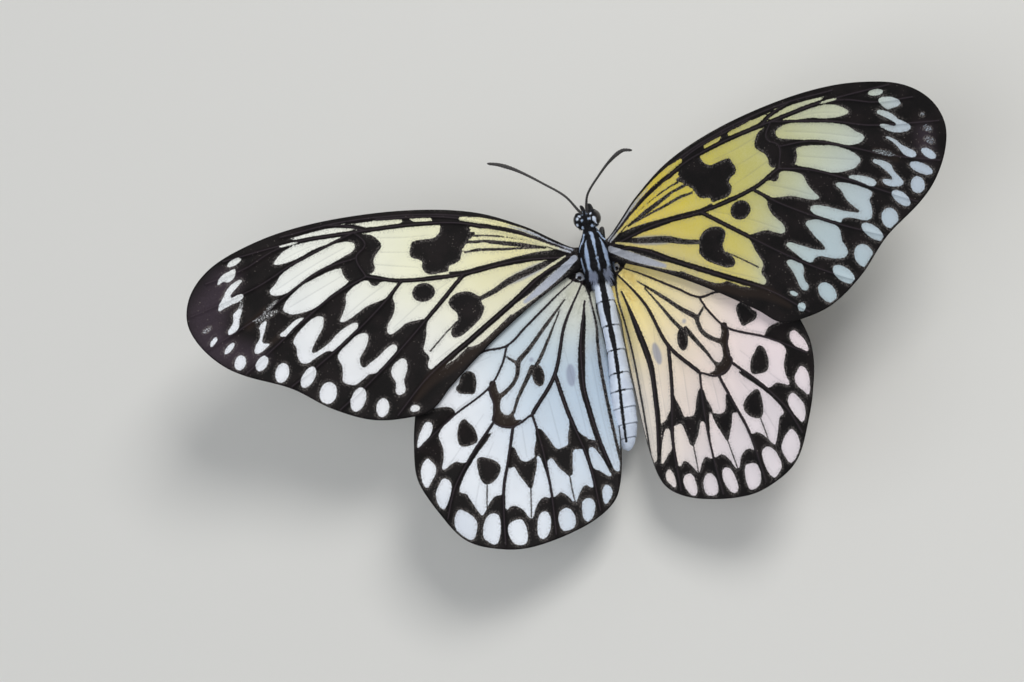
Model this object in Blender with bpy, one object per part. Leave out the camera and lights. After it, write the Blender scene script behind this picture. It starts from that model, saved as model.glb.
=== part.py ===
# Paper kite butterfly, Idea leuconoe, life size, standing with its wings open in a shallow V.
# Sizes are in millimetres and become metres as each mesh is made.
# Body frame: X to the insect's right, Y forward, Z up, origin midway between the forewing hinges.
import math

import bmesh
import bpy
from mathutils import Matrix, Vector
from mathutils.geometry import delaunay_2d_cdt, interpolate_bezier

MM = 0.001
GAP = 0.3

# Posture over the floor
BODY_PITCH = 8.0
BODY_HEIGHT = 11.6

# Wings
FORE_DIHEDRAL = {"left": 17.0, "right": 18.0}
HIND_DIHEDRAL = {"left": 19.5, "right": 20.2}
HIND_TWIST = -6.0
FORE_HINGE = Vector((-2.6, 0.0, 0.0))
HIND_HINGE = Vector((-2.4, -4.5, -0.8))
SHEET_SPACING = 1.25
TRAILING_LIFT = 0.5
GUTTER_DEPTH = 1.6
MEMBRANE = 0.5
RIDGE_TOP = 0.3
RIDGE_UNDER = 0.15
RIDGE_REACH = 0.75
RIM_CLEAR = 0.35
OUTLINE_STEP = 2.1
VEIN_STEP = 2.3
INNER_STEP = 4.6

# Body lengths, each station: y, centre x, centre z, half width, half height
BODY_SIDES = 20
HEAD_X = 0.34
HEAD = [(4.25, HEAD_X, -0.3, 1.15, 1.25), (5.2, HEAD_X, -0.3, 1.55, 1.6), (6.4, HEAD_X, -0.35, 1.5, 1.55),
        (7.2, HEAD_X, -0.45, 1.1, 1.25), (7.6, HEAD_X, -0.5, 0.6, 0.8)]
THORAX = [(-4.6, 0.22, -0.5, 1.45, 1.6), (-4.0, 0.22, -0.6, 1.9, 2.1), (-3.2, 0.22, -0.75, 2.15, 2.4),
          (-2.4, 0.2, -0.85, 2.5, 2.8), (-0.8, 0.2, -0.95, 2.7, 3.05), (0.9, 0.2, -0.95, 2.65, 2.95),
          (2.0, 0.22, -0.85, 2.35, 2.5), (2.6, 0.25, -0.75, 1.85, 2.0), (3.1, 0.3, -0.65, 1.75, 1.9),
          (3.95, 0.32, -0.55, 1.2, 1.3)]
ABDOMEN = [(-4.9, 0.25, -0.4, 1.3, 1.45), (-7.0, 0.29, -0.4, 1.5, 1.75), (-12.0, 0.19, -0.4, 1.42, 1.85),
           (-16.2, 0.12, -0.45, 1.45, 1.8), (-20.0, -0.22, -0.55, 1.62, 1.85),
           (-23.0, -0.57, -0.7, 1.95, 2.0), (-26.0, -0.92, -0.9, 2.08, 2.05), (-28.6, -1.2, -1.1, 1.95, 1.9),
           (-31.0, -1.56, -1.3, 1.45, 1.45), (-32.2, -1.72, -1.4, 0.9, 0.9), (-32.8, -1.78, -1.45, 0.4, 0.4)]
HEAD_RINGS, THORAX_RINGS = 10, 18
SEGMENT_JOINTS = [-8.1, -12.2, -16.3, -20.1, -23.0, -25.8, -28.5, -30.7]
JOINT_DEPTH, JOINT_REACH = 0.07, 0.3
EYE_RADII = Vector((1.0, 1.3, 1.45))
EYE_ASIDE, EYE_Y, EYE_Z = 1.32, 5.9, -0.2

# Antennae, palps, coiled proboscis and forelegs in the body frame, root to tip
ANTENNAE = {
    "left": [(0.0, 6.6, 0.6), (-0.4, 7.5, 1.6), (-1.75, 10.1, 2.8), (-4.6, 12.85, 3.6), (-8.2, 15.9, 4.1),
             (-10.9, 17.6, 4.3), (-13.0, 18.4, 4.4)],
    "right": [(0.75, 6.6, 0.6), (1.1, 7.7, 1.6), (2.4, 9.4, 3.9), (5.6, 11.45, 6.8), (8.4, 13.0, 8.8),
              (11.0, 13.85, 10.2), (12.8, 13.4, 10.9)],
}
ANTENNA_RADII = [0.27, 0.25, 0.25, 0.25, 0.28, 0.4, 0.34]
PALP = [(0.62, 6.5, -1.2), (0.62, 7.4, -1.5), (0.67, 8.05, -1.1), (0.7, 8.35, -0.35)]
PALP_RADII = [0.36, 0.38, 0.34, 0.25]
COIL_TURNS, COIL_PITCH, COIL_EYE, COIL_TUBE = 2.2, 0.62, 0.4, 0.25
COIL_Y, COIL_Z, COIL_START = 7.0, -4.1, 75.0
FORE_LEG = [(1.2, 2.6, -2.4), (1.5, 4.3, -4.1), (1.35, 3.0, -4.6), (1.3, 1.8, -4.5)]
FORE_LEG_RADII = [0.4, 0.35, 0.3, 0.25]

# Walking legs: hip in the body frame, the other joints over the floor
WALKING_LEGS = {
    "midleg_": ((1.3, 0.4, -2.6), [(2.6, 0.8, 7.0), (8.0, 4.2, 8.8), (10.9, 6.6, 1.4), (11.5, 7.2, 0.2),
                                   (15.4, 10.6, 0.2)]),
    "hindleg_": ((1.2, -2.6, -2.4), [(2.4, -4.0, 7.0), (6.8, -10.4, 8.4), (8.9, -16.6, 1.5),
                                     (9.2, -17.5, 0.2), (10.4, -23.2, 0.2)]),
}
LEG_RADII = [0.5, 0.45, 0.38, 0.3, 0.27, 0.27]
TUBE_SIDES = 2

# Outline of each wing in its own plane: u outward from the hinge, v forward
FORE_OUTLINE = [
    (-1.6, 1.2), (0.6, 2.0), (3.0, 3.7), (7.5, 7.1), (15.0, 11.1), (25.0, 13.7), (37.0, 14.95), (47.0, 14.7),
    (55.0, 13.1), (60.0, 11.0), (63.5, 7.7), (64.9, 3.6), (63.9, -0.4), (61.0, -4.5), (57.5, -7.2),
    (50.5, -10.9), (44.8, -15.5), (38.6, -18.8), (32.6, -19.75), (28.6, -19.3), (25.0, -16.4), (17.5, -11.1),
    (10.0, -6.5), (3.0, -3.0), (0.2, -1.9), (-1.6, -1.4)]
HIND_OUTLINE = [
    (-1.4, 2.0), (1.5, 3.0), (6.0, 4.4), (13.0, 4.2), (20.0, 1.6), (26.0, -2.6), (30.5, -8.2), (33.0, -14.6),
    (34.4, -19.6), (34.3, -25.6), (32.0, -31.9), (28.6, -37.4), (23.0, -40.1), (17.8, -40.7), (10.0, -39.4),
    (5.2, -37.4), (2.7, -34.9), (1.0, -29.0), (0.1, -21.0), (-0.5, -12.0), (-0.6, -5.0), (-1.4, -2.0)]

# Main veins, root to margin
FORE_VEINS = {
    "costa": [(1.0, 1.6), (3.4, 3.3), (8.0, 6.7), (15.2, 10.3), (25.0, 12.9), (37.0, 14.2), (47.0, 13.9)],
    "subcosta": [(1.0, 1.2), (10.0, 7.2), (20.0, 11.4), (31.0, 13.4)],
    "radius": [(0.8, 0.9), (10.0, 6.3), (17.5, 9.8), (26.0, 11.4), (35.0, 12.1), (44.5, 12.6), (57.0, 12.0)],
    "radial_branch_2": [(33.4, 12.1), (36.0, 13.4), (39.5, 14.3)],
    "radial_branch_4": [(44.5, 12.6), (49.0, 11.8), (54.0, 10.0), (60.5, 9.0)],
    "radial_branch_5": [(35.0, 12.1), (40.0, 10.8), (46.0, 9.1), (52.0, 6.8), (58.0, 5.4), (64.0, 4.2)],
    "cell_end": [(35.0, 12.1), (33.6, 9.8), (35.5, 7.9), (34.6, 4.5)],
    "media_1": [(35.5, 7.9), (41.5, 7.1), (48.0, 4.3), (54.0, 1.4), (62.6, -1.8)],
    "media_2": [(34.6, 4.5), (40.0, 2.8), (46.5, -0.6), (51.5, -3.6), (57.2, -7.0)],
    "media_3": [(29.0, 2.6), (33.5, -1.0), (40.0, -5.2), (45.0, -8.0), (50.5, -10.7)],
    "cubitus_1": [(18.8, 1.5), (27.0, -5.0), (33.0, -9.6), (38.0, -13.0), (43.4, -16.1)],
    "cubitus_2": [(0.8, 0.4), (10.0, 1.7), (18.8, 1.5), (29.0, 2.6), (34.6, 4.5)],
    "anal": [(0.6, -0.6), (5.0, -0.9), (12.0, -4.9), (20.0, -9.4), (28.0, -13.9), (34.2, -19.0)],
}
HIND_VEINS = {
    "costa": [(1.2, 2.2), (6.0, 3.6), (13.0, 3.4), (19.6, 0.9), (25.4, -3.1), (29.8, -8.4), (32.3, -14.6)],
    "radial_stem": [(0.8, 1.8), (5.1, -0.6), (11.7, -4.8), (15.4, -7.1), (19.8, -7.3), (31.5, -12.0)],
    "radial_sector": [(15.4, -7.1), (16.9, -10.0), (19.9, -13.4), (26.7, -16.6), (33.6, -20.8)],
    "cell_end": [(19.9, -13.4), (19.3, -17.2), (19.9, -19.2), (17.0, -20.6), (13.5, -19.3)],
    "media_1": [(19.9, -19.2), (24.8, -24.0), (28.5, -28.5), (30.7, -33.2)],
    "media_2": [(17.0, -20.6), (19.0, -25.9), (20.9, -30.8), (22.5, -39.4)],
    "media_3": [(13.5, -19.3), (13.1, -26.0), (13.4, -33.3), (14.1, -39.5)],
    "cubitus": [(0.5, 0.7), (5.1, -5.8), (8.4, -13.6), (13.5, -19.3)],
    "cubitus_2": [(8.4, -13.6), (7.7, -20.5), (6.2, -29.0), (6.2, -37.2)],
    "anal": [(0.9, -2.6), (2.9, -8.8), (4.2, -16.4), (4.1, -22.0), (3.1, -30.2)],
}

# Colours of the sub-parts: red, green, blue, roughness
COLOURS = {
    "wing": (0.80, 0.80, 0.72, 0.55),
    "cuticle": (0.02, 0.02, 0.02, 0.40),
    "abdomen": (0.62, 0.66, 0.78, 0.50),
    "eye": (0.03, 0.02, 0.02, 0.15),
}


def smoothstep(t):
    t = min(max(t, 0.0), 1.0)
    return t * t * (3.0 - 2.0 * t)


def spline(points, step, closed=False):
    """Even points along a smooth curve through the named ones."""
    pts = [Vector(p) for p in points]
    count = len(pts)
    dense = []
    for i in range(count if closed else count - 1):
        a, b = pts[i], pts[(i + 1) % count]
        before = pts[i - 1] if closed or i else a
        after = pts[(i + 2) % count] if closed or i + 2 < count else b
        leg = (b - a).length
        left = (b - before).normalized() * leg / 3.0
        right = (after - a).normalized() * leg / 3.0
        dense += interpolate_bezier(a, a + left, b - right, b, 24)[:-1]
    dense.append(pts[0] if closed else pts[-1])
    dense = [p.to_3d() if len(p) == 2 else p for p in dense]
    lengths = [0.0]
    for a, b in zip(dense, dense[1:]):
        lengths.append(lengths[-1] + (b - a).length)
    pieces = max(2, round(lengths[-1] / step))
    out, k = [], 0
    for i in range(pieces + 1):
        want = lengths[-1] * i / pieces
        while k < len(dense) - 2 and lengths[k + 1] < want:
            k += 1
        span = max(lengths[k + 1] - lengths[k], 1e-9)
        out.append(dense[k].lerp(dense[k + 1], (want - lengths[k]) / span))
    return out[:-1] if closed else out


def distance_to_line(p, line, closed=False):
    """Shortest distance in the plane from p to a run of points."""
    best = 1e9
    ends = line[1:] + ([line[0]] if closed else [])
    for a, b in zip(line, ends):
        ab = b - a
        t = min(max((p - a).dot(ab) / max(ab.length_squared, 1e-12), 0.0), 1.0)
        best = min(best, (p - a - ab * t).length)
    return best


def inside(p, loop):
    """Whether p lies inside a closed run of points."""
    odd = False
    for a, b in zip(loop, loop[1:] + loop[:1]):
        if (a.y > p.y) != (b.y > p.y) and p.x < (b.x - a.x) * (p.y - a.y) / (b.y - a.y) + a.x:
            odd = not odd
    return odd


def fore_lift(u, v):
    """The forewing's trailing part rides up over the hindwing."""
    return TRAILING_LIFT * smoothstep((-v - 2.0) / 11.0) * (1.0 - smoothstep((u - 32.0) / 16.0))


def fore_point(u, v, side):
    """A place on the forewing's sheet, as a left wing has it."""
    d = math.radians(FORE_DIHEDRAL[side])
    return FORE_HINGE + Vector((-math.cos(d) * u, v, math.sin(d) * u + fore_lift(u, v)))


def fore_height(p, side):
    """Height of that forewing's sheet above a place in the body frame."""
    d = math.radians(FORE_DIHEDRAL[side])
    u = (FORE_HINGE.x - p.x) / math.cos(d)
    return math.sin(d) * u + fore_lift(u, p.y)


def hind_point(u, v, side):
    """A place on the hindwing's sheet, which dips under the forewing and folds down along the body."""
    d, t = math.radians(HIND_DIHEDRAL[side]), math.radians(HIND_TWIST)
    outward = Vector((-math.cos(d), 0.0, math.sin(d)))
    forward = Vector((math.sin(t) * math.sin(d), math.cos(t), math.sin(t) * math.cos(d)))
    p = HIND_HINGE + outward * u + forward * v
    overlap = math.radians(28.0)
    ahead = (v - 1.0) * math.cos(overlap) + u * math.sin(overlap)
    too_high = max(p.z - (fore_height(p, side) - SHEET_SPACING), 0.0)
    p.z -= too_high * smoothstep((ahead + 9.0) / 9.0)
    p.z -= GUTTER_DEPTH * (1.0 - smoothstep((u + 0.6) / 3.2)) * smoothstep((-v - 3.0) / 5.0)
    return p


def make_material(name):
    red, green, blue, rough = COLOURS[name]
    material = bpy.data.materials.new(name)
    material.use_nodes = True
    shader = material.node_tree.nodes["Principled BSDF"]
    shader.inputs["Base Color"].default_value = (red, green, blue, 1.0)
    shader.inputs["Roughness"].default_value = rough
    shader.inputs["Metallic"].default_value = 0.0
    material.diffuse_color = (red, green, blue, 1.0)
    return material


def add_object(name, mesh, material, collection, parent=None):
    obj = bpy.data.objects.new(name, mesh)
    if material:
        mesh.materials.append(MATERIALS[material])
    collection.objects.link(obj)
    if parent:
        obj.parent = parent
    return obj


def finish_mesh(name, bm):
    """A bmesh in millimetres becomes a mesh in metres, faces outward, shaded smooth."""
    bmesh.ops.recalc_face_normals(bm, faces=bm.faces)
    bmesh.ops.scale(bm, vec=(MM, MM, MM), verts=bm.verts)
    mesh = bpy.data.meshes.new(name)
    bm.to_mesh(mesh)
    bm.free()
    mesh.shade_smooth()
    mesh.set_sharp_from_angle(angle=math.radians(40.0))
    return mesh


def wing_mesh(name, outline, veins, place, side):
    """A sheet with its veins raised, split into the same triangles above and below."""
    rim = [p.to_2d() for p in spline(outline, OUTLINE_STEP, closed=True)]
    points = list(rim)
    edges = [(i, (i + 1) % len(rim)) for i in range(len(rim))]
    lines = []
    for anchors in veins.values():
        line = [p.to_2d() for p in spline(anchors, VEIN_STEP)]
        line = [p for p in line if inside(p, rim) and distance_to_line(p, rim, True) > RIM_CLEAR]
        lines.append(line)
        edges += [(len(points) + i, len(points) + i + 1) for i in range(len(line) - 1)]
        points += line

    def clear(p, reach):
        return (inside(p, rim) and distance_to_line(p, rim, True) > 0.45 * reach
                and all(distance_to_line(p, line) > reach for line in lines))

    for line in list(lines):
        for a, b in zip(line, line[1:]):
            across = (b - a).orthogonal().normalized() * RIDGE_REACH
            for foot in ((a + b) / 2 + across, (a + b) / 2 - across):
                if clear(foot, RIDGE_REACH * 0.9):
                    points.append(foot)
    rows = math.ceil(80.0 / INNER_STEP)
    for i in range(rows):
        for j in range(rows):
            p = Vector((i * INNER_STEP + (j % 2) * INNER_STEP / 2 - 2.0, j * INNER_STEP * 0.87 - 44.0))
            if clear(p, 1.9):
                points.append(p)
    flat = delaunay_2d_cdt(points, edges, [list(range(len(rim)))], 1, 1e-4)
    verts, faces = flat[0], flat[2]
    used = sorted({i for face in faces for i in face})
    outward = -1.0 if side == "right" else 1.0
    bm = bmesh.new()
    layers = []
    for sign in (1.0, -1.0):
        layer = {}
        for i in used:
            p = verts[i]
            near = min(distance_to_line(p, line) for line in lines)
            ridge = max(0.0, 1.0 - near / RIDGE_REACH) * smoothstep(distance_to_line(p, rim, True) / 0.7)
            half = MEMBRANE / 2 + ridge * (RIDGE_TOP if sign > 0 else RIDGE_UNDER)
            q = place(p.x, p.y, side) + Vector((0.0, 0.0, sign * half))
            layer[i] = bm.verts.new((outward * q.x, q.y, q.z))
        layers.append(layer)
    sides = {}
    for face in faces:
        bm.faces.new([layers[0][i] for i in face])
        bm.faces.new([layers[1][i] for i in reversed(face)])
        for a, b in zip(face, list(face[1:]) + [face[0]]):
            sides[(a, b)] = True
    for a, b in sides:
        if (b, a) not in sides:
            top_a, top_b, low_a, low_b = layers[0][a], layers[0][b], layers[1][a], layers[1][b]
            bm.faces.new((top_b, top_a, low_a))
            bm.faces.new((top_b, low_a, low_b))
    return finish_mesh(name, bm)


def station_curve(stations, y):
    """Smooth blend of a body's named stations at y: centre x, centre z, half width, half height."""
    rows = sorted(stations)
    y = min(max(y, rows[0][0]), rows[-1][0])
    k = max(i for i in range(len(rows) - 1) if rows[i][0] <= y)
    a, b = rows[k], rows[k + 1]
    before, after = rows[max(k - 1, 0)], rows[min(k + 2, len(rows) - 1)]
    t = (y - a[0]) / (b[0] - a[0])
    out = []
    for c in range(1, 5):
        slope_a = (b[c] - before[c]) / (b[0] - before[0]) * (b[0] - a[0])
        slope_b = (after[c] - a[c]) / (after[0] - a[0]) * (b[0] - a[0])
        out.append((2 * t**3 - 3 * t**2 + 1) * a[c] + (t**3 - 2 * t**2 + t) * slope_a
                   + (3 * t**2 - 2 * t**3) * b[c] + (t**3 - t**2) * slope_b)
    return out


def body_mesh(name, stations, ys, grow=0.0, shape=None):
    """A loft of oval rings along Y; grow swells it for the cutters."""
    bm = bmesh.new()
    rings = []
    last = len(ys) - 1
    for i, y in enumerate(ys):
        x, z, wide, high = station_curve(stations, y)
        squeeze = shape(y) if shape else 1.0
        shift = grow if i == 0 else -grow if i == last else 0.0
        if ys[0] < ys[-1]:
            shift = -shift
        ring = []
        for s in range(BODY_SIDES):
            a = math.tau * s / BODY_SIDES
            ring.append(bm.verts.new((x + (wide * squeeze + grow) * math.cos(a), y + shift,
                                      z + (high * squeeze + grow) * math.sin(a))))
        rings.append(ring)
    for lower, upper in zip(rings, rings[1:]):
        for s in range(BODY_SIDES):
            n = (s + 1) % BODY_SIDES
            bm.faces.new((lower[s], lower[n], upper[n], upper[s]))
    bm.faces.new(rings[0])
    bm.faces.new(rings[-1])
    return finish_mesh(name, bm)


def tube_mesh(name, route, radii, step, sole=None):
    """A round tube through the route's points, its radius eased between the named ones."""
    points = spline(route, step)
    curve = bpy.data.curves.new(name, "CURVE")
    curve.dimensions = "3D"
    curve.bevel_depth = MM
    curve.bevel_resolution = TUBE_SIDES
    curve.use_fill_caps = True
    line = curve.splines.new("POLY")
    line.points.add(len(points) - 1)
    for i, p in enumerate(points):
        place = i / (len(points) - 1) * (len(radii) - 1)
        k = min(int(place), len(radii) - 2)
        line.points[i].co = (p.x * MM, p.y * MM, p.z * MM, 1.0)
        line.points[i].radius = radii[k] + (radii[k + 1] - radii[k]) * (place - k)
    holder = bpy.data.objects.new(name, curve)
    bpy.context.scene.collection.objects.link(holder)
    bpy.context.view_layer.update()
    graph = bpy.context.evaluated_depsgraph_get()
    mesh = bpy.data.meshes.new_from_object(holder.evaluated_get(graph))
    bpy.data.objects.remove(holder)
    bpy.data.curves.remove(curve)
    bm = bmesh.new()
    bm.from_mesh(mesh)
    bmesh.ops.remove_doubles(bm, verts=bm.verts, dist=0.00001)
    if sole is not None:
        for vert in bm.verts:
            vert.co.z = max(vert.co.z, sole * MM)
    bmesh.ops.recalc_face_normals(bm, faces=bm.faces)
    bm.to_mesh(mesh)
    bm.free()
    mesh.shade_smooth()
    mesh.set_sharp_from_angle(angle=math.radians(50.0))
    return mesh


def ball_mesh(name, centre, radii, rings=12):
    bm = bmesh.new()
    bmesh.ops.create_uvsphere(bm, u_segments=16, v_segments=rings, radius=1.0)
    bmesh.ops.scale(bm, vec=radii, verts=bm.verts)
    bmesh.ops.translate(bm, vec=centre, verts=bm.verts)
    return finish_mesh(name, bm)


def cut(obj, cutter):
    """obj stops a gap short of what the cutter swells out from."""
    knife = obj.modifiers.new("clear_of_" + cutter.name, "BOOLEAN")
    knife.operation = "DIFFERENCE"
    knife.object = cutter


def make_cutter(name, mesh, parent):
    obj = add_object(name, mesh, None, CUTTERS, parent)
    obj.hide_render = True
    obj.display_type = "WIRE"
    return obj


for old in list(bpy.data.objects):
    bpy.data.objects.remove(old)
PARTS = bpy.data.collections.new("paper_kite_butterfly")
CUTTERS = bpy.data.collections.new("cutters")
for group in (PARTS, CUTTERS):
    bpy.context.scene.collection.children.link(group)
MATERIALS = {name: make_material(name) for name in COLOURS}

stance = bpy.data.objects.new("stance", None)
PARTS.objects.link(stance)
posture = bpy.data.objects.new("posture", None)
posture.location = (0.0, 0.0, BODY_HEIGHT * MM)
posture.rotation_euler = (math.radians(BODY_PITCH), 0.0, 0.0)
posture.parent = stance
PARTS.objects.link(posture)
POSTURE = Matrix.Translation((0.0, 0.0, BODY_HEIGHT)) @ Matrix.Rotation(math.radians(BODY_PITCH), 4, "X")


def segment_shape(y):
    """The abdomen draws in a little at each joint between its segments."""
    return 1.0 - JOINT_DEPTH * sum(math.exp(-((y - joint) / JOINT_REACH) ** 2) for joint in SEGMENT_JOINTS)


def even_rings(stations, count):
    first, last = stations[0][0], stations[-1][0]
    return [first + (last - first) * i / (count - 1) for i in range(count)]


def abdomen_rings():
    """Rings at both ends, three at each joint and one between joints that lie far apart."""
    front, tip = ABDOMEN[0][0], ABDOMEN[-1][0]
    ys = {front, front - 0.7, tip + 1.2, tip + 0.5, tip}
    for joint in SEGMENT_JOINTS:
        ys |= {joint - 0.5, joint, joint + 0.5}
    for before, joint in zip([front] + SEGMENT_JOINTS, SEGMENT_JOINTS):
        if before - joint > 1.8:
            ys.add((before + joint) / 2)
    return sorted(ys)


head_ys = even_rings(HEAD, HEAD_RINGS)
thorax_ys = even_rings(THORAX, THORAX_RINGS)
abdomen_ys = abdomen_rings()
head = add_object("head", body_mesh("head", HEAD, head_ys), "cuticle", PARTS, posture)
add_object("thorax", body_mesh("thorax", THORAX, thorax_ys), "cuticle", PARTS, posture)
mesh = body_mesh("abdomen", ABDOMEN, abdomen_ys, shape=segment_shape)
add_object("abdomen", mesh, "abdomen", PARTS, posture)

head_room = make_cutter("head_room", body_mesh("head_room", HEAD, head_ys, GAP), posture)
thorax_room = make_cutter("thorax_room", body_mesh("thorax_room", THORAX, thorax_ys, GAP), posture)
abdomen_room = make_cutter("abdomen_room", body_mesh("abdomen_room", ABDOMEN, abdomen_ys, GAP), posture)

# Eyes fill the sides of the head, which is hollowed to take them
for side, sign in (("left", -1.0), ("right", 1.0)):
    centre = Vector((HEAD_X + sign * EYE_ASIDE, EYE_Y, EYE_Z))
    add_object("eye_" + side, ball_mesh("eye_" + side, centre, EYE_RADII), "eye", PARTS, posture)
    room = EYE_RADII + Vector((GAP, GAP, GAP))
    cut(head, make_cutter("eye_room_" + side, ball_mesh("eye_room_" + side, centre, room), posture))

# Feelers and mouthparts start inside the head and are cut back to its skin
for side, sign in (("left", -1.0), ("right", 1.0)):
    mesh = tube_mesh("antenna_" + side, ANTENNAE[side], ANTENNA_RADII, 1.2)
    cut(add_object("antenna_" + side, mesh, "cuticle", PARTS, posture), head_room)
    route = [(HEAD_X + sign * x, y, z) for x, y, z in PALP]
    mesh = tube_mesh("palp_" + side, route, PALP_RADII, 0.5)
    cut(add_object("palp_" + side, mesh, "cuticle", PARTS, posture), head_room)

coil = [(HEAD_X, 6.7, -1.2), (HEAD_X, 7.2, -2.0)]
for i in range(23):
    turn = COIL_TURNS * i / 22
    radius = COIL_EYE + COIL_PITCH * (COIL_TURNS - turn)
    a = math.radians(COIL_START) - math.tau * turn
    coil.append((HEAD_X, COIL_Y + radius * math.cos(a), COIL_Z + radius * math.sin(a)))
proboscis_mesh = tube_mesh("proboscis", coil, [COIL_TUBE, COIL_TUBE], 0.6)
cut(add_object("proboscis", proboscis_mesh, "cuticle", PARTS, posture), head_room)

# Wings: the right ones mirror the left and stand a little higher
for side in ("left", "right"):
    mesh = wing_mesh("forewing_" + side, FORE_OUTLINE, FORE_VEINS, fore_point, side)
    cut(add_object("forewing_" + side, mesh, "wing", PARTS, posture), thorax_room)
    mesh = wing_mesh("hindwing_" + side, HIND_OUTLINE, HIND_VEINS, hind_point, side)
    hindwing = add_object("hindwing_" + side, mesh, "wing", PARTS, posture)
    cut(hindwing, thorax_room)
    cut(hindwing, abdomen_room)

for side, sign in (("left", -1.0), ("right", 1.0)):
    for name, (hip, joints) in WALKING_LEGS.items():
        root = POSTURE @ Vector((sign * hip[0], hip[1], hip[2]))
        route = [tuple(root)] + [(sign * x, y, z) for x, y, z in joints]
        leg = tube_mesh(name + side, route, LEG_RADII, 1.3, sole=0.0)
        cut(add_object(name + side, leg, "cuticle", PARTS, stance), thorax_room)
    route = [(sign * x, y, z) for x, y, z in FORE_LEG]
    leg = tube_mesh("foreleg_" + side, route, FORE_LEG_RADII, 0.7)
    cut(add_object("foreleg_" + side, leg, "cuticle", PARTS, posture), thorax_room)

# The middle of the whole box comes over the origin
bpy.context.view_layer.update()
graph = bpy.context.evaluated_depsgraph_get()
corners = []
for obj in PARTS.objects:
    if obj.type == "MESH":
        solid = obj.evaluated_get(graph)
        corners += [solid.matrix_world @ vert.co for vert in solid.data.vertices]
for axis in (0, 1):
    reach = [corner[axis] for corner in corners]
    stance.location[axis] = -(min(reach) + max(reach)) / 2
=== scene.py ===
# %% [markdown]
# # A paper kite butterfly at life size
# The solid model already holds every piece at its real size. This lesson dresses it: four scaled
# wings, one skin over head, thorax and abdomen, glossy eyes, feelers, jointed legs and a coat of
# hair. Lengths below are millimetres in the body's own frame: X to the insect's right, Y forward,
# Z up, with the origin midway between the forewing hinges.
# %% Load the solid model
import math

import bpy
import numpy as np
from mathutils import Matrix, Vector
from mathutils.geometry import delaunay_2d_cdt, interpolate_bezier


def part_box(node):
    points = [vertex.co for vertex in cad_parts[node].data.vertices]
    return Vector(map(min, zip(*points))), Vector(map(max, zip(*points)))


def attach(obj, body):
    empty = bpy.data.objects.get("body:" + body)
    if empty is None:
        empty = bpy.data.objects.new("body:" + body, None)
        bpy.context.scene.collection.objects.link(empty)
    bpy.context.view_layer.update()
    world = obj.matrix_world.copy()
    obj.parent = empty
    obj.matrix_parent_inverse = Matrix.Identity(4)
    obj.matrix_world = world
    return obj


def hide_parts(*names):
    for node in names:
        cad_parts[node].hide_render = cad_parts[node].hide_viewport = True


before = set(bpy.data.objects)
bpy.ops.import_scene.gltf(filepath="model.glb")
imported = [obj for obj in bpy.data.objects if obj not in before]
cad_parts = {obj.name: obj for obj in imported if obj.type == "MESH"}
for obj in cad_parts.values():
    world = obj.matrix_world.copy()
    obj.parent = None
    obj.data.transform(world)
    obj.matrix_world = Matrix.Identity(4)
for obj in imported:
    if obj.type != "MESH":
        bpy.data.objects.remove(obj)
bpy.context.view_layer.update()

# %% [markdown]
# The body leans a little nose-up over the floor. The two eyes are whole balls in the solid model,
# so the middle of their boxes tells exactly where the body's frame lies, and everything else is
# placed from it.
# %% Find the body's frame
MM = 0.001
BODY_PITCH = math.radians(8.0)
EYES_MIDDLE = Vector((0.34, 5.9, -0.2))
SIDES = {"left": -1, "right": 1}


def node_middle(node):
    low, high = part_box(node)
    return (low + high) / 2


PITCH = Matrix.Rotation(BODY_PITCH, 3, "X")
BODY_ORIGIN = (node_middle("eye_left") + node_middle("eye_right")) / 2 - (PITCH @ EYES_MIDDLE) * MM


def to_floor_frame(places):
    """Body-frame millimetres become metres in the model's frame."""
    return np.asarray(places, float) @ np.array(PITCH).T * MM + np.array(BODY_ORIGIN)


print("body's origin, mm", [round(c / MM, 2) for c in BODY_ORIGIN])

# %% [markdown]
# The camera stands where the photograph was taken from, seen from the butterfly: nearly over its
# back, from its right and a little behind, far enough away that the wings hardly foreshorten.
# %% Camera
VIEW_SPIN, VIEW_PITCH, VIEW_ROLL = math.radians(12.654), math.radians(-5.992), math.radians(-14.967)
VIEW_DISTANCE = 650.0
VIEW_ASIDE, VIEW_UP = 14.263, 14.499
WINGS_ASIDE = 1.058
LENS, SENSOR = 139.17, 36.0


def in_scene(name, data):
    """A new object that stands in the scene."""
    made = bpy.data.objects.new(name, data)
    bpy.context.scene.collection.objects.link(made)
    return made


to_camera = (Matrix.Rotation(VIEW_SPIN, 3, "Z") @ Matrix.Rotation(VIEW_PITCH, 3, "X")
             @ Matrix.Rotation(VIEW_ROLL, 3, "Y"))
eye_point = to_camera.transposed() @ Vector((-VIEW_ASIDE, -VIEW_UP, VIEW_DISTANCE))
eye_point.x += WINGS_ASIDE
camera_data = bpy.data.cameras.new("camera")
camera_data.lens = LENS
camera_data.sensor_width = SENSOR
camera_data.clip_start = 0.01
camera_data.clip_end = 20.0
camera = in_scene("camera", camera_data)
camera.matrix_world = (Matrix.Translation(BODY_ORIGIN + (PITCH @ eye_point) * MM)
                       @ (PITCH @ to_camera.transposed()).to_4x4())
bpy.context.scene.camera = camera
print("camera at", [round(c, 3) for c in camera.matrix_world.translation])

# %% [markdown]
# A plain pale floor and large soft lamps, as for photographing a museum piece. The brightest lamp
# stands high in front of the butterfly, to its right.
# %% Floor and light
FLOOR_SIZE = 3.0
LAMPS_AIM = Vector((0, 0, 0.02))
LAMPS = {
    "key": ((0.45, 0.35, 0.75), 0.35, 4.6, (1.0, 0.98, 0.95)),
    "fill": ((-0.7, -0.2, 0.6), 0.8, 1.6, (0.92, 0.96, 1.0)),
    "top": ((0.0, -0.3, 1.1), 0.7, 2.5, (1.0, 1.0, 1.0)),
}


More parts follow.
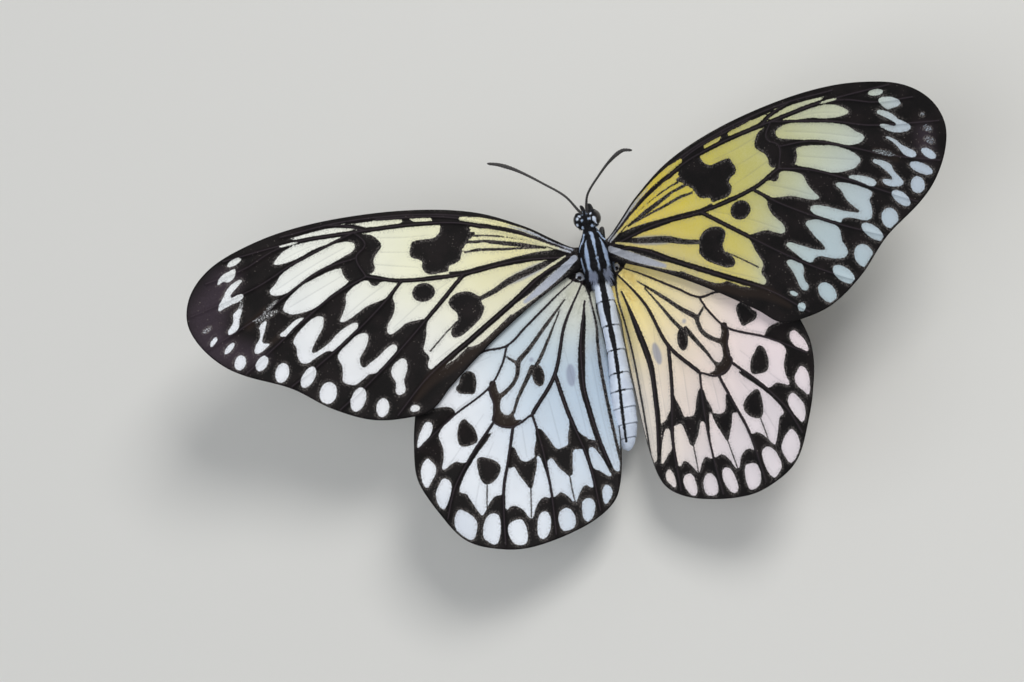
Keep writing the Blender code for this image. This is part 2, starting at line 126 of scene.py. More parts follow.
def new_material(name, values):
    """A material, and its shader with these values in the shader's own sockets."""
    material = bpy.data.materials.new(name)
    material.use_nodes = True
    shader = material.node_tree.nodes["Principled BSDF"]
    for socket, value in values.items():
        shader.inputs[socket].default_value = value
    return material, shader


half = FLOOR_SIZE / 2
floor_mesh = bpy.data.meshes.new("floor")
floor_mesh.from_pydata([(-half, -half, 0), (half, -half, 0), (half, half, 0), (-half, half, 0)], [],
                       [(0, 1, 2, 3)])
floor_paint, _ = new_material("pale_floor", {"Base Color": (0.70, 0.70, 0.68, 1.0), "Roughness": 0.9})
floor_mesh.materials.append(floor_paint)
floor = in_scene("floor", floor_mesh)
for lamp_name, (spot, size, power, tone) in LAMPS.items():
    lamp_data = bpy.data.lights.new(lamp_name, "AREA")
    lamp_data.size, lamp_data.energy, lamp_data.color = size, power, tone
    lamp = in_scene(lamp_name, lamp_data)
    lamp.location = spot
    lamp.rotation_euler = (LAMPS_AIM - Vector(spot)).to_track_quat("-Z", "Y").to_euler()
world = bpy.data.worlds.new("soft_room")
world.use_nodes = True
room_light = world.node_tree.nodes["Background"].inputs
room_light["Color"].default_value = (0.95, 0.97, 1.0, 1.0)
room_light["Strength"].default_value = 0.3
bpy.context.scene.world = world
bpy.context.scene.view_settings.view_transform = "Standard"
print("floor and", len(LAMPS), "lamps")

# %% [markdown]
# Wings, marks and legs are all drawn with smooth lines through a few named points. The line is
# the same one that the solid model uses, so a wing's outline here falls on the solid's.
# %% Smooth lines and distances to them
FAR = 3.0


def smoothstep(t):
    t = np.clip(t, 0.0, 1.0)
    return t * t * (3.0 - 2.0 * t)


def lengths_along(line):
    """How far along the line each of its places is."""
    return np.concatenate([[0], np.cumsum(np.linalg.norm(np.diff(line, axis=0), axis=1))])


def headings(line):
    """Which way the line runs at each of its places, as steps of length one."""
    run = np.gradient(line, axis=0)
    return run / np.linalg.norm(run, axis=1)[:, None]


def smooth_line(points, step, closed=False):
    """Even places along a smooth curve through the points."""
    knots = [Vector((*p, 0.0)) if len(p) == 2 else Vector(p) for p in points]
    count = len(knots)
    dense = []
    for i in range(count if closed else count - 1):
        a, b = knots[i], knots[(i + 1) % count]
        before = knots[i - 1] if closed or i else a
        after = knots[(i + 2) % count] if closed or i + 2 < count else b
        leg = (b - a).length
        left, right = (b - before).normalized() * leg / 3, (after - a).normalized() * leg / 3
        dense += interpolate_bezier(a, a + left, b - right, b, 24)[:-1]
    dense.append(knots[0] if closed else knots[-1])
    dense = np.array([tuple(p) for p in dense])
    lengths = lengths_along(dense)
    wanted = np.linspace(0, lengths[-1], max(2, round(lengths[-1] / step)) + 1)
    line = np.stack([np.interp(wanted, lengths, dense[:, k]) for k in range(3)], axis=1)
    line = line[:-1] if closed else line
    return line[:, :2] if len(points[0]) == 2 else line


def gap_to_line(places, line, closed=False):
    """Distance from each place to the line, and how far along the line that is, from 0 to 1."""
    starts = line if closed else line[:-1]
    ends = np.roll(line, -1, axis=0) if closed else line[1:]
    gap, along = np.full(len(places), 1e9), np.zeros(len(places))
    for k, (a, b) in enumerate(zip(starts, ends)):
        run = b - a
        t = np.clip((places - a) @ run / max(run @ run, 1e-12), 0, 1)
        d = np.linalg.norm(places - a - t[:, None] * run, axis=1)
        closer = d < gap
        gap[closer] = d[closer]
        along[closer] = (k + t[closer]) / len(starts)
    return gap, along


def inside_loop(places, loop):
    """Whether each place lies inside the loop."""
    odd = np.zeros(len(places), bool)
    x, y = places[:, 0], places[:, 1]
    for a, b in zip(loop, np.roll(loop, -1, axis=0)):
        if a[1] != b[1]:
            reach = (b[0] - a[0]) * (y - a[1]) / (b[1] - a[1]) + a[0]
            odd ^= ((a[1] > y) != (b[1] > y)) & (x < reach)
    return odd


print("a ring of four points, one step apart:", len(smooth_line([(0, 0), (2, 0), (2, 2), (0, 2)], 1.0, True)))

# %% [markdown]
# Each mark on a wing or on the body is one of three shapes: a closed outline, an oval between two
# end points, or a streak with its own widths. Each gives a depth, which is above zero inside the
# mark and falls below zero outside. Depths join with a maximum, and one mark bites into another
# with a minimum, so the edges stay crisp between the points of the mesh.
# %% Shapes of marks
OUTLINE_STEP, STREAK_STEP = 0.35, 0.4


def depth_of(places, points, measure, spare=FAR):
    """Runs measure only on the places close to the shape's points."""
    depth = np.full(len(places), -FAR)
    low, high = points.min(axis=0) - spare, points.max(axis=0) + spare
    close = ((places > low) & (places < high)).all(axis=1)
    if close.any():
        depth[close] = np.maximum(measure(places[close]), -FAR)
    return depth


def outline_mark(places, points):
    """The depth inside a smooth closed loop."""
    loop = smooth_line(points, OUTLINE_STEP, closed=True)

    def measure(spots):
        gap = gap_to_line(spots, loop, closed=True)[0]
        return np.where(inside_loop(spots, loop), gap, -gap)

    return depth_of(places, loop, measure)


def oval_mark(places, start, end, width):
    """The depth inside an oval that reaches from start to end."""
    start, end = np.array(start, float), np.array(end, float)
    half_long, middle = np.linalg.norm(end - start) / 2, (start + end) / 2
    lengthways = (end - start) / (2 * half_long)
    crossways = np.array([-lengthways[1], lengthways[0]])
    radii = np.array([half_long, width / 2])

    def measure(spots):
        local = np.stack([(spots - middle) @ lengthways, (spots - middle) @ crossways], axis=1)
        size = np.linalg.norm(local / radii, axis=1)
        slope = np.maximum(np.linalg.norm(local / radii ** 2, axis=1), 1e-6)
        return size * (1 - size) / slope

    return depth_of(places, np.stack([start, end]), measure, FAR + width)


def streak_mark(places, points, widths):
    """The depth inside a smooth line whose width changes on the way."""
    line = smooth_line(points, STREAK_STEP)

    def measure(spots):
        gap, along = gap_to_line(spots, line)
        return np.interp(along, np.linspace(0, 1, len(widths)), widths) / 2 - gap

    return depth_of(places, line, measure)


def shapes(outlines=(), ovals=(), streaks=()):
    """A list of marks, each with its function and what that function needs."""
    return ([(outline_mark, points) for points in outlines] + [(oval_mark, *row) for row in ovals]
            + [(streak_mark, *row) for row in streaks])


def deepest(places, marks):
    """The depth in whichever mark is deepest at each place."""
    depth = np.full(len(places), -FAR)
    for kind, *values in marks:
        depth = np.maximum(depth, kind(places, *values))
    return depth


print("middle of a 2 mm oval is", oval_mark(np.array([[1.0, 0.0]]), (0, 0), (2, 0), 1.0)[0], "mm deep")

# %% [markdown]
# ## Wings
# A wing is a stiff, thin sheet. The forewing lies in one slanting plane, and its trailing part
# rides up over the hindwing. The hindwing dips under it in front and folds down along the body.
# These two functions repeat the solid model's surfaces, so the fine wings lie inside the solids.
# %% Where a wing's sheet lies
FORE_DIHEDRAL = {"left": math.radians(17.0), "right": math.radians(18.0)}
HIND_DIHEDRAL = {"left": math.radians(19.5), "right": math.radians(20.2)}
HIND_TWIST = math.radians(-6.0)
FORE_HINGE = np.array([-2.6, 0.0, 0.0])
HIND_HINGE = np.array([-2.4, -4.5, -0.8])
SHEET_SPACING, TRAILING_LIFT, GUTTER_DEPTH = 1.25, 0.5, 1.6
OVERLAP_SLANT = math.radians(28.0)


def trailing_lift(u, v):
    """The rise behind the hinge line, which fades between 32 and 48 mm from the hinge."""
    return TRAILING_LIFT * smoothstep((-v - 2.0) / 11.0) * (1.0 - smoothstep((u - 32.0) / 16.0))


def fore_sheet(u, v, side):
    d = FORE_DIHEDRAL[side]
    return FORE_HINGE + np.stack([-math.cos(d) * u, v, math.sin(d) * u + trailing_lift(u, v)], axis=1)


def hind_sheet(u, v, side):
    d, t = HIND_DIHEDRAL[side], HIND_TWIST
    outward = np.array([-math.cos(d), 0.0, math.sin(d)])
    forward = np.array([math.sin(t) * math.sin(d), math.cos(t), math.sin(t) * math.cos(d)])
    spot = HIND_HINGE + np.outer(u, outward) + np.outer(v, forward)
    fore = FORE_DIHEDRAL[side]
    fore_u = (FORE_HINGE[0] - spot[:, 0]) / math.cos(fore)
    ceiling = math.sin(fore) * fore_u + trailing_lift(fore_u, spot[:, 1]) - SHEET_SPACING
    ahead = (v - 1.0) * math.cos(OVERLAP_SLANT) + u * math.sin(OVERLAP_SLANT)
    spot[:, 2] -= np.maximum(spot[:, 2] - ceiling, 0.0) * smoothstep((ahead + 9.0) / 9.0)
    spot[:, 2] -= GUTTER_DEPTH * (1.0 - smoothstep((u + 0.6) / 3.2)) * smoothstep((-v - 3.0) / 5.0)
    return spot


print("left forewing tip, mm:", fore_sheet(np.array([65.0]), np.array([3.6]), "left").round(1)[0])

# %% [markdown]
# Outlines and veins, in each wing's own plane: u outward from the hinge and v forward.
# %% Outlines and veins of the wings
FORE_OUTLINE = [
    (-1.6, 1.2), (0.6, 2), (3, 3.7), (7.5, 7.1), (15, 11.1), (25, 13.7), (37, 14.95), (47, 14.7),
    (55, 13.1), (60, 11), (63.5, 7.7), (64.9, 3.6), (63.9, -0.4), (61, -4.5), (57.5, -7.2), (50.5, -10.9),
    (44.8, -15.5), (38.6, -18.8), (32.6, -19.75), (28.6, -19.3), (25, -16.4), (17.5, -11.1), (10, -6.5),
    (3, -3), (0.2, -1.9), (-1.6, -1.4)]
HIND_OUTLINE = [
    (-1.4, 2), (1.5, 3), (6, 4.4), (13, 4.2), (20, 1.6), (26, -2.6), (30.5, -8.2), (33, -14.6),
    (34.4, -19.6), (34.3, -25.6), (32, -31.9), (28.6, -37.4), (23, -40.1), (17.8, -40.7), (10, -39.4),
    (5.2, -37.4), (2.7, -34.9), (1, -29), (0.1, -21), (-0.5, -12), (-0.6, -5), (-1.4, -2)]
FORE_VEINS = [
    [(1, 1.6), (3.4, 3.3), (8, 6.7), (15.2, 10.3), (25, 12.9), (37, 14.2), (47, 13.9)],
    [(1, 1.2), (10, 7.2), (20, 11.4), (31, 13.4)],
    [(0.8, 0.9), (10, 6.3), (17.5, 9.8), (26, 11.4), (35, 12.1), (44.5, 12.6), (57, 12)],
    [(33.4, 12.1), (36, 13.4), (39.5, 14.3)],
    [(44.5, 12.6), (49, 11.8), (54, 10), (60.5, 9)],
    [(35, 12.1), (40, 10.8), (46, 9.1), (52, 6.8), (58, 5.4), (64, 4.2)],
    [(35, 12.1), (33.6, 9.8), (35.5, 7.9), (34.6, 4.5)],
    [(35.5, 7.9), (41.5, 7.1), (48, 4.3), (54, 1.4), (62.6, -1.8)],
    [(34.6, 4.5), (40, 2.8), (46.5, -0.6), (51.5, -3.6), (57.2, -7)],
    [(29, 2.6), (33.5, -1), (40, -5.2), (45, -8), (50.5, -10.7)],
    [(18.8, 1.5), (27, -5), (33, -9.6), (38, -13), (43.4, -16.1)],
    [(0.8, 0.4), (10, 1.7), (18.8, 1.5), (29, 2.6), (34.6, 4.5)],
    [(0.6, -0.6), (5, -0.9), (12, -4.9), (20, -9.4), (28, -13.9), (34.2, -19)]]
HIND_VEINS = [
    [(1.2, 2.2), (6, 3.6), (13, 3.4), (19.6, 0.9), (25.4, -3.1), (29.8, -8.4), (32.3, -14.6)],
    [(0.8, 1.8), (5.1, -0.6), (11.7, -4.8), (15.4, -7.1), (19.8, -7.3), (31.5, -12)],
    [(15.4, -7.1), (16.9, -10), (19.9, -13.4), (26.7, -16.6), (33.6, -20.8)],
    [(19.9, -13.4), (19.3, -17.2), (19.9, -19.2), (17, -20.6), (13.5, -19.3)],
    [(19.9, -19.2), (24.8, -24), (28.5, -28.5), (30.7, -33.2)],
    [(17, -20.6), (19, -25.9), (20.9, -30.8), (22.5, -39.4)],
    [(13.5, -19.3), (13.1, -26), (13.4, -33.3), (14.1, -39.5)],
    [(0.5, 0.7), (5.1, -5.8), (8.4, -13.6), (13.5, -19.3)],
    [(8.4, -13.6), (7.7, -20.5), (6.2, -29), (6.2, -37.2)],
    [(0.9, -2.6), (2.9, -8.8), (4.2, -16.4), (4.1, -22), (3.1, -30.2)]]
print(len(FORE_VEINS), "forewing veins,", len(HIND_VEINS), "hindwing veins")

# %% [markdown]
# The wings are black, with pale panes between the veins, as leaded glass has. Black spots and
# streaks of black scales lie on the panes, and white ovals stand along the outer margin. The two
# forewings share their inner marks, while each has its own outer ones. Stripes are pale lines over
# the black of the root, and most of them are bluish.
# %% Marks of the forewing
FORE_PALE = shapes(outlines=[
    [(45.4, 13.4), (45, 13.75), (43, 13.75), (40.5, 13.7), (38, 13.5), (36, 13), (33.75, 12.4),
     (34.25, 12.1), (36, 12.3), (38.5, 12.55), (41, 12.7), (43.5, 12.75), (44.75, 13.05)],
    [(38, 14.05), (35.5, 13.95), (32, 13.7), (27.5, 13.2), (27, 12), (32, 12.4), (33, 12.55), (34.75, 13.4),
     (36.5, 13.8)],
    [(26.75, 13), (23, 12.6), (22, 12), (22.1, 11.1), (23.75, 11.4), (25, 11.75), (25.75, 12.4)],
    [(49, 9.8), (48.6, 10.4), (47.25, 11.4), (45.5, 12), (43.5, 12.2), (41, 12.2), (38.5, 11.95),
     (36.75, 11.6), (38, 11.3), (40.5, 11.05), (42.5, 10.7), (44.25, 10.1), (46, 9.7), (47.25, 9.55)],
    [(50.7, 5.25), (50.5, 5.75), (49.5, 6.5), (48.25, 7.75), (46.75, 8.5), (44.75, 9.25), (42.75, 10),
     (40.5, 10.6), (38.5, 10.9), (36.75, 10.9), (35.6, 10.5), (35.4, 10), (35.75, 9.25), (37, 8.75),
     (38.5, 8.25), (40.25, 7.7), (42, 7.25), (43.75, 6.6), (45.5, 5.75), (47, 5), (48.5, 4.6), (50, 4.7)],
    [(49.1, 1.9), (48.9, 2.6), (48, 3.6), (46.5, 4.6), (45, 5.4), (43, 6), (41, 6.55), (39.25, 6.8),
     (38.1, 6.6), (37.6, 5.75), (37.25, 4.9), (38, 4.1), (39.25, 3.5), (41, 2.75), (43, 1.6), (44.75, 1.1),
     (46.5, 0.95), (48, 1.1), (48.6, 1.5)],
    [(40.4, -1.8), (39.75, -0.75), (38.9, 0.75), (38.5, 2.25), (37.6, 3), (36.25, 3.6), (34.75, 3.9),
     (33.5, 3.1), (32, 3.1), (30, 2.7), (29.7, 2.4), (31.6, 0.6), (33.5, 0.1), (35.5, -0.25), (37.25, -1),
     (38.75, -1.7), (40, -2)],
    [(19.3, 1.1), (25, -3), (26.5, -4.3), (27.5, -4.3), (29.9, -4.4), (31, -5), (32.9, -5.6), (33, -4.3),
     (31.5, -2.3), (31, -0.7), (31.1, 0.2), (29.6, 1.8), (29.2, 2.2), (24, 1.8), (20, 1.5)],
    [(1.6, 1.7), (5, 4.6), (10, 7.1), (13.5, 8.7), (17.5, 9.7), (22, 10.7), (27, 11.3), (32, 11.9),
     (34, 12.1), (34.4, 9.5), (35.2, 7.9), (34.6, 5.2), (33, 4.4), (29, 2.85), (24, 2.35), (18.8, 1.75),
     (10, 1.95), (4, 1.5)],
    [(2, 0.7), (8, 1.1), (18.5, 1), (22, -1.3), (26, -4.5), (26.6, -5.5), (27, -7), (27.5, -8.25),
     (27.9, -9.5), (27.25, -10.75), (27.75, -12), (27.5, -12.7), (25.5, -12.7), (23, -11.9), (20, -9.9),
     (17.5, -8.2), (13.5, -5.9), (9, -3.6), (5, -1.8), (1.5, 0.2)],
    [(21.2, -10.3), (19, -10.4), (15.5, -8.5), (11, -5.7), (7, -4), (10, -4.5), (15, -7), (18, -8.7),
     (20.3, -9.8)]], ovals=[
    ((47.45, 12.4), (44.4, 12.5), 0.35)], streaks=[
    ([(26.5, 13.4), (22, 12.6), (17.5, 11.3)], [0.2, 0.35, 0.15])])
print(len(FORE_PALE), "pale marks on the inner part of a forewing")

# %% [markdown]
# Towards the tip each forewing has pale marks of its own.
# %% Outer pale marks of the forewings
FORE_OUTER_PALE = {
    "left": shapes(outlines=[
        [(58.7, 8.45), (58.5, 9), (57.5, 9.9), (56.25, 10.25), (55.4, 10.4), (55.5, 9.4), (56.25, 8.75),
         (57, 8.45), (57.6, 8.8)],
        [(59.45, 4.2), (58.4, 6), (57.25, 7.5), (56, 8.25), (55, 8.45), (54.6, 8.3), (55.2, 7.8),
         (56.3, 6.95), (57.1, 6.15), (56.9, 5.85), (56, 6.05), (55, 6.1), (55, 5.6), (56, 5), (57.25, 4.75),
         (58.5, 4.4)],
        [(56, 3.9), (55.85, 3.4), (56.4, 2.25), (56.6, 1.4), (57, 0.5), (58, 0), (58.7, 0.05), (58.5, 0.75),
         (57.75, 1.5), (57.4, 2.25), (57.25, 3.1), (56.6, 3.6)],
        [(53.6, 0.1), (52.25, 0.9), (52.5, 0), (53, -1), (53.5, -2), (53.5, -2.6), (52.5, -2.9),
         (53.25, -3.5), (54, -3.95), (55.1, -3.9), (54.75, -2.75), (53.9, -1.75), (53.5, -0.4)],
        [(50.5, -1.9), (49.5, -1.25), (48.25, -0.4), (47.25, 0.05), (46, 0), (46.75, -0.75), (48, -1.6),
         (49.25, -2.3), (49.6, -2.3)],
        [(32.1, -18.75), (31.5, -17.9), (30.6, -18.25), (30.75, -18.9)],
        [(48.6, -3.5), (48, -2.6), (46.25, -1.25), (44.5, -0.3), (43.1, -0.3), (43, -1), (43.5, -2.25),
         (44.5, -3.5), (45.5, -4.75), (46, -5.75), (45.5, -5.95), (44, -5.4), (42.75, -4.75), (41, -3.5),
         (39.25, -2.75), (38, -2.5), (37.6, -2.9), (38.25, -4), (39.75, -5), (41.25, -5.75), (42.25, -6.4),
         (43.4, -6.1), (44.5, -6.4), (45.75, -6.9), (47.25, -7.4), (48.1, -7), (48.45, -5.75),
         (48.3, -4.5)],
        [(42, -7.5), (41.5, -6.75), (39.75, -5.6), (38, -4.6), (36.75, -4.55), (36.4, -5), (36.75, -6.25),
         (37.6, -7.4), (38.5, -8.5), (38.5, -9.75), (38, -10.1), (37, -9.6), (35.25, -8.75), (33.75, -7.75),
         (32.5, -7.4), (32.1, -8), (32.75, -9.25), (34, -10.25), (35.25, -11.4), (36.5, -11.4),
         (37.6, -11.4), (38.75, -12), (40, -12.5), (41.25, -12.2), (42, -11.5), (41.8, -10.5), (41.6, -9)],
        [(33.9, -12), (33.25, -10.75), (31.75, -10), (31.1, -10.4), (31.25, -12), (32.1, -13.5),
         (32.4, -15.5), (33.75, -15.5), (33.5, -13.75)]], ovals=[
        ((56.5, 11.1), (54.05, 11.9), 0.95), ((61.9, -1.3), (60.7, 0), 0.8),
        ((59.95, -2.9), (58.1, -1.5), 0.85), ((57.27, -3.77), (58.33, -6.03), 1.8),
        ((53.37, -4.77), (55.25, -6.81), 1.7), ((50.77, -6.56), (52.15, -9.49), 2.2),
        ((46.1, -8.2), (48.64, -11.08), 1.9), ((44.03, -11.23), (45.54, -14.57), 2.8),
        ((39.05, -13.24), (41.18, -16.8), 2.3), ((36, -15.74), (37, -18.66), 2.1)]),
    "right": shapes(outlines=[
        [(54.65, 10.31), (55.48, 10.4), (56.59, 10.18), (57.64, 9.59), (58.26, 8.77), (57.79, 8.38),
         (56.76, 8.34), (55.75, 8.37), (55.06, 9.08), (54.66, 9.78)],
        [(53.81, 8.52), (54.63, 8.56), (55.65, 8.01), (56.49, 7.32), (57.08, 6.5), (58.07, 5.71),
         (58.95, 4.91), (58.99, 4.41), (58.27, 4.16), (56.86, 4.3), (55.53, 4.79), (54.48, 5.54),
         (53.74, 6.33), (54.4, 6.34), (55.45, 5.86), (56.37, 5.47), (56.7, 5.64), (56.22, 6.29),
         (55.33, 7.06), (54.42, 7.77)],
        [(54.3, 4.29), (55.22, 3.9), (56.06, 3.22), (56.65, 2.41), (57.6, 1.63), (58.5, 0.92),
         (58.89, 0.17), (58.44, -0.16), (57.5, 0.16), (56.68, 0.91), (56.21, 1.88), (55.59, 2.83),
         (54.87, 3.68)],
        [(51.16, 1.31), (52.34, 1.06), (53.44, 0.5), (54.13, -0.21), (54.29, -0.97), (54.66, -1.78),
         (55.28, -2.73), (55.53, -3.44), (54.99, -3.82), (53.94, -3.66), (52.88, -3.25), (52.11, -2.58),
         (52.01, -2.1), (52.88, -2.14), (53.67, -2.49), (53.83, -2.14), (53.38, -1.37), (52.74, -0.48),
         (52.01, 0.37)],
        [(46.37, -0.06), (47.54, -0.11), (48.95, -0.62), (50.18, -1.28), (50.92, -2.07), (50.73, -2.54),
         (50.04, -2.61), (48.96, -1.99), (47.92, -1.45), (47, -0.75)],
        [(43.79, -0.54), (44.62, -0.5), (45.9, -0.97), (47.34, -1.69), (48.67, -2.5), (49.82, -3.46),
         (49.6, -3.99), (49.05, -4.43), (49.08, -5.41), (49.01, -6.5), (48.65, -7.31), (48, -7.53),
         (46.78, -7.14), (45.67, -6.59), (44.31, -6.17), (43.53, -6.29), (43.2, -6.72), (42.09, -6.43),
         (40.6, -5.58), (39.19, -4.42), (38.38, -3.22), (38.79, -2.8), (40.01, -2.99), (41.62, -3.69),
         (43.38, -4.61), (44.96, -5.36), (46.24, -5.83), (46.89, -5.87), (46.47, -5.24), (45.68, -4.31),
         (44.96, -3.14), (44.65, -2.07), (44.2, -1.23)],
        [(36.98, -5.15), (37.86, -4.92), (39.43, -5.21), (40.92, -5.8), (42.09, -6.69), (42.72, -7.71),
         (42.7, -8.62), (42.67, -9.59), (43.14, -10.63), (43.19, -11.56), (42.53, -12.1), (41.29, -12.05),
         (39.81, -11.54), (38.41, -10.92), (37.29, -10.96), (36.72, -11.47), (35.92, -11.39),
         (35.08, -10.59), (34.1, -9.41), (33.18, -8.31), (32.78, -7.48), (33.55, -7.42), (34.81, -8.08),
         (36.39, -8.95), (37.9, -9.74), (39, -10.08), (39.48, -9.95), (39.06, -8.98), (38.3, -7.87),
         (37.74, -6.86), (37.3, -5.96)],
        [(32.17, -10.23), (33.09, -10.14), (34.1, -10.6), (34.86, -11.45), (34.93, -12.32), (34.58, -13.09),
         (34.65, -13.96), (35.07, -14.92), (34.69, -15.48), (34.03, -15.44), (33.55, -14.73),
         (33.3, -13.68), (33.05, -12.63), (32.66, -11.54)]], ovals=[
        ((53.08, 11.7), (55.71, 11.27), 0.95), ((59.91, 0.76), (62.02, -1.2), 1.3),
        ((57.4, -0.91), (60.86, -3.27), 1.6), ((57.61, -3.13), (58.11, -5.75), 2.4),
        ((53.32, -4.34), (55.77, -7.07), 1.8), ((51.33, -6.63), (52.31, -9.81), 2.9),
        ((46.76, -7.92), (49.88, -11.11), 1.9), ((45.03, -10.99), (46.67, -14.5), 3.2),
        ((40.12, -13.15), (43.18, -16.31), 2.2), ((36.99, -15.21), (39.12, -18.36), 2.6),
        ((32.72, -17.28), (33.35, -18.55), 1.4), ((31.54, -15.07), (32.82, -15.89), 0.7)])}
print("outer pale marks:", {side: len(FORE_OUTER_PALE[side]) for side in SIDES})

# %% [markdown]
# Black marks lie over the panes, and pale stripes over the black of the root.
# %% Black marks and stripes of the forewing
FORE_BLACK = shapes(outlines=[
    [(36.8, 11.4), (35, 11.9), (33.5, 11.5), (32.4, 11.1), (31.75, 10.5), (31.1, 9.1), (31.9, 8.1),
     (32.6, 7.4), (33, 6.5), (32.9, 5.75), (33.1, 5.25), (33.5, 4.9), (35, 4.9), (37.3, 4.2), (38.3, 6.9),
     (36.2, 8.9), (35, 10), (35.4, 10.9)],
    [(22.1, 11.5), (22, 12.4), (21, 12.25), (19.5, 11.9), (17.5, 11.1), (17, 10.5), (17, 9.75), (16.5, 9),
     (16, 8.25), (15.6, 7.75), (16.5, 7), (17.5, 6.25), (18, 5.6), (18.6, 4.75), (19, 3.9), (20, 3.5),
     (21, 3.25), (21.25, 2.5), (22.5, 2.5), (24.25, 2.6), (25, 3.1), (25.4, 4.1), (25.1, 4.9), (25.75, 5.5),
     (26.6, 5.9), (26.9, 6.75), (26.5, 7.75), (26.1, 8.5), (25, 8.6), (23.75, 8.5), (22.5, 8.4),
     (21.75, 8.75), (21.25, 9.25), (21, 10), (20.75, 10.4), (21.75, 10.6)],
    [(22.4, -2.75), (22, -2), (21, -1.45), (19.75, -1.3), (18.5, -1.6), (17.5, -2.4), (17.1, -3), (17, -4),
     (16.75, -4.6), (17.1, -5.4), (17.75, -6.25), (18.75, -7), (20, -7.75), (21.25, -8.4), (22.5, -8.5),
     (23, -7.9), (22.75, -7), (22, -6.25), (21.4, -5.5), (21.4, -4.6), (22, -3.75)]], ovals=[
    ((33.4, 4.5), (33.4, 2.7), 1.8), ((27.9, -0.05), (24.1, -0.05), 3.1)], streaks=[
    ([(21.75, -6), (24.2, -7.7), (26.9, -9.8)], [0.3, 0.26, 0.3]),
    ([(17, -3), (14.5, -2.3), (12, -1.3), (10, -0.75), (7.5, -0.25), (5, 0.3), (2, 0.8)],
     [0.75, 0.9, 1.1, 1.1, 1, 0.9, 0.8]),
    ([(22, 10.9), (18.5, 9.75), (14.5, 8.75), (11.4, 7.5), (8.4, 6.1), (5.4, 4.35), (3.75, 3.3),
     (2.3, 2.35), (0.9, 1.3)], [0.5, 0.6, 0.65, 0.65, 0.6, 0.55, 0.42, 0.35, 0.3]),
    ([(15.9, 7.35), (11.7, 6.3), (8.6, 5.2), (7.3, 4.7)], [0.4, 0.34, 0.28, 0.2]),
    ([(17.5, 6.6), (13.5, 5.8), (10.3, 4.8), (7.2, 3.65), (4.9, 2.85)], [0.5, 0.6, 0.95, 0.7, 0.4]),
    ([(17.9, 5.05), (15.4, 4.85), (12.2, 4.2), (8.9, 3.65), (5.7, 3)], [0.5, 0.5, 0.45, 0.35, 0.25]),
    ([(21, 2.1), (18.8, 1.8), (16, 1.85), (12.7, 1.9), (9.3, 1.9), (6, 1.85), (2.6, 1.5), (0.7, 1)],
     [0.5, 0.6, 0.75, 0.85, 1.1, 1.2, 1.1, 0.9]),
    ([(0.8, 0.75), (2.7, -0.1), (4.6, -1), (6.9, -2.35), (8.85, -3.4), (13.75, -5.9), (17.5, -8),
     (20, -9.5), (22.5, -11), (24, -12)], [0.7, 0.75, 0.8, 0.8, 0.8, 0.8, 0.75, 0.7, 0.6, 0.4])])
FORE_STRIPES = shapes(outlines=[
    [(18.3, 5.35), (17.2, 6), (16, 6.05), (13.7, 5.25), (16, 5.2)]], streaks=[
    ([(17.3, 10.5), (14.4, 9.6), (11.3, 8.35), (8.2, 6.72), (5.95, 5.35), (3.75, 3.72), (2.3, 2.74),
     (0.5, 1.5)], [0.6, 0.95, 0.8, 0.6, 0.48, 0.36, 0.32, 0.3]),
    ([(16.2, 8.2), (14.7, 7.95), (11.6, 6.8), (8.5, 5.45), (5.5, 3.85), (4, 2.95), (2.5, 2.1), (0.9, 1.2)],
     [0.3, 0.8, 0.75, 0.7, 0.55, 0.42, 0.36, 0.3]),
    ([(16.8, 6.85), (15, 6.78), (11.8, 5.85), (8.6, 4.8), (6.3, 3.9), (4.8, 3.2)],
     [0.2, 0.55, 0.55, 0.5, 0.45, 0.4]),
    ([(1.9, 0.75), (3.8, 0.1), (6.6, -0.98), (9.3, -1.95), (11.1, -2.6)], [0.25, 0.45, 0.55, 0.65, 0.7]),
    ([(0.5, 0.1), (2.1, -0.9), (4.25, -2.2), (6.2, -3.25), (8, -4.2), (10, -5.2), (12.5, -6.5)],
     [1, 1.2, 1.3, 1.3, 1.2, 1, 0.6])])
FORE_BLUE = shapes(streaks=[
    ([(10, 7.7), (8.2, 6.72), (5.95, 5.35), (3.75, 3.72), (2.3, 2.74), (0.5, 1.5)], [0.1, 0.6, 0.8, 0.8]),
    ([(2.5, 2.1), (0.9, 1.2)], [0.3, 0.6]),
    ([(0.5, 0.1), (2.1, -0.9), (4.25, -2.2), (6.2, -3.25), (8, -4.2), (10, -5.2)],
     [1.4, 1.6, 1.7, 1.6, 1.2, 0.6])])
print(len(FORE_BLACK), "black marks and", len(FORE_STRIPES), "stripes")

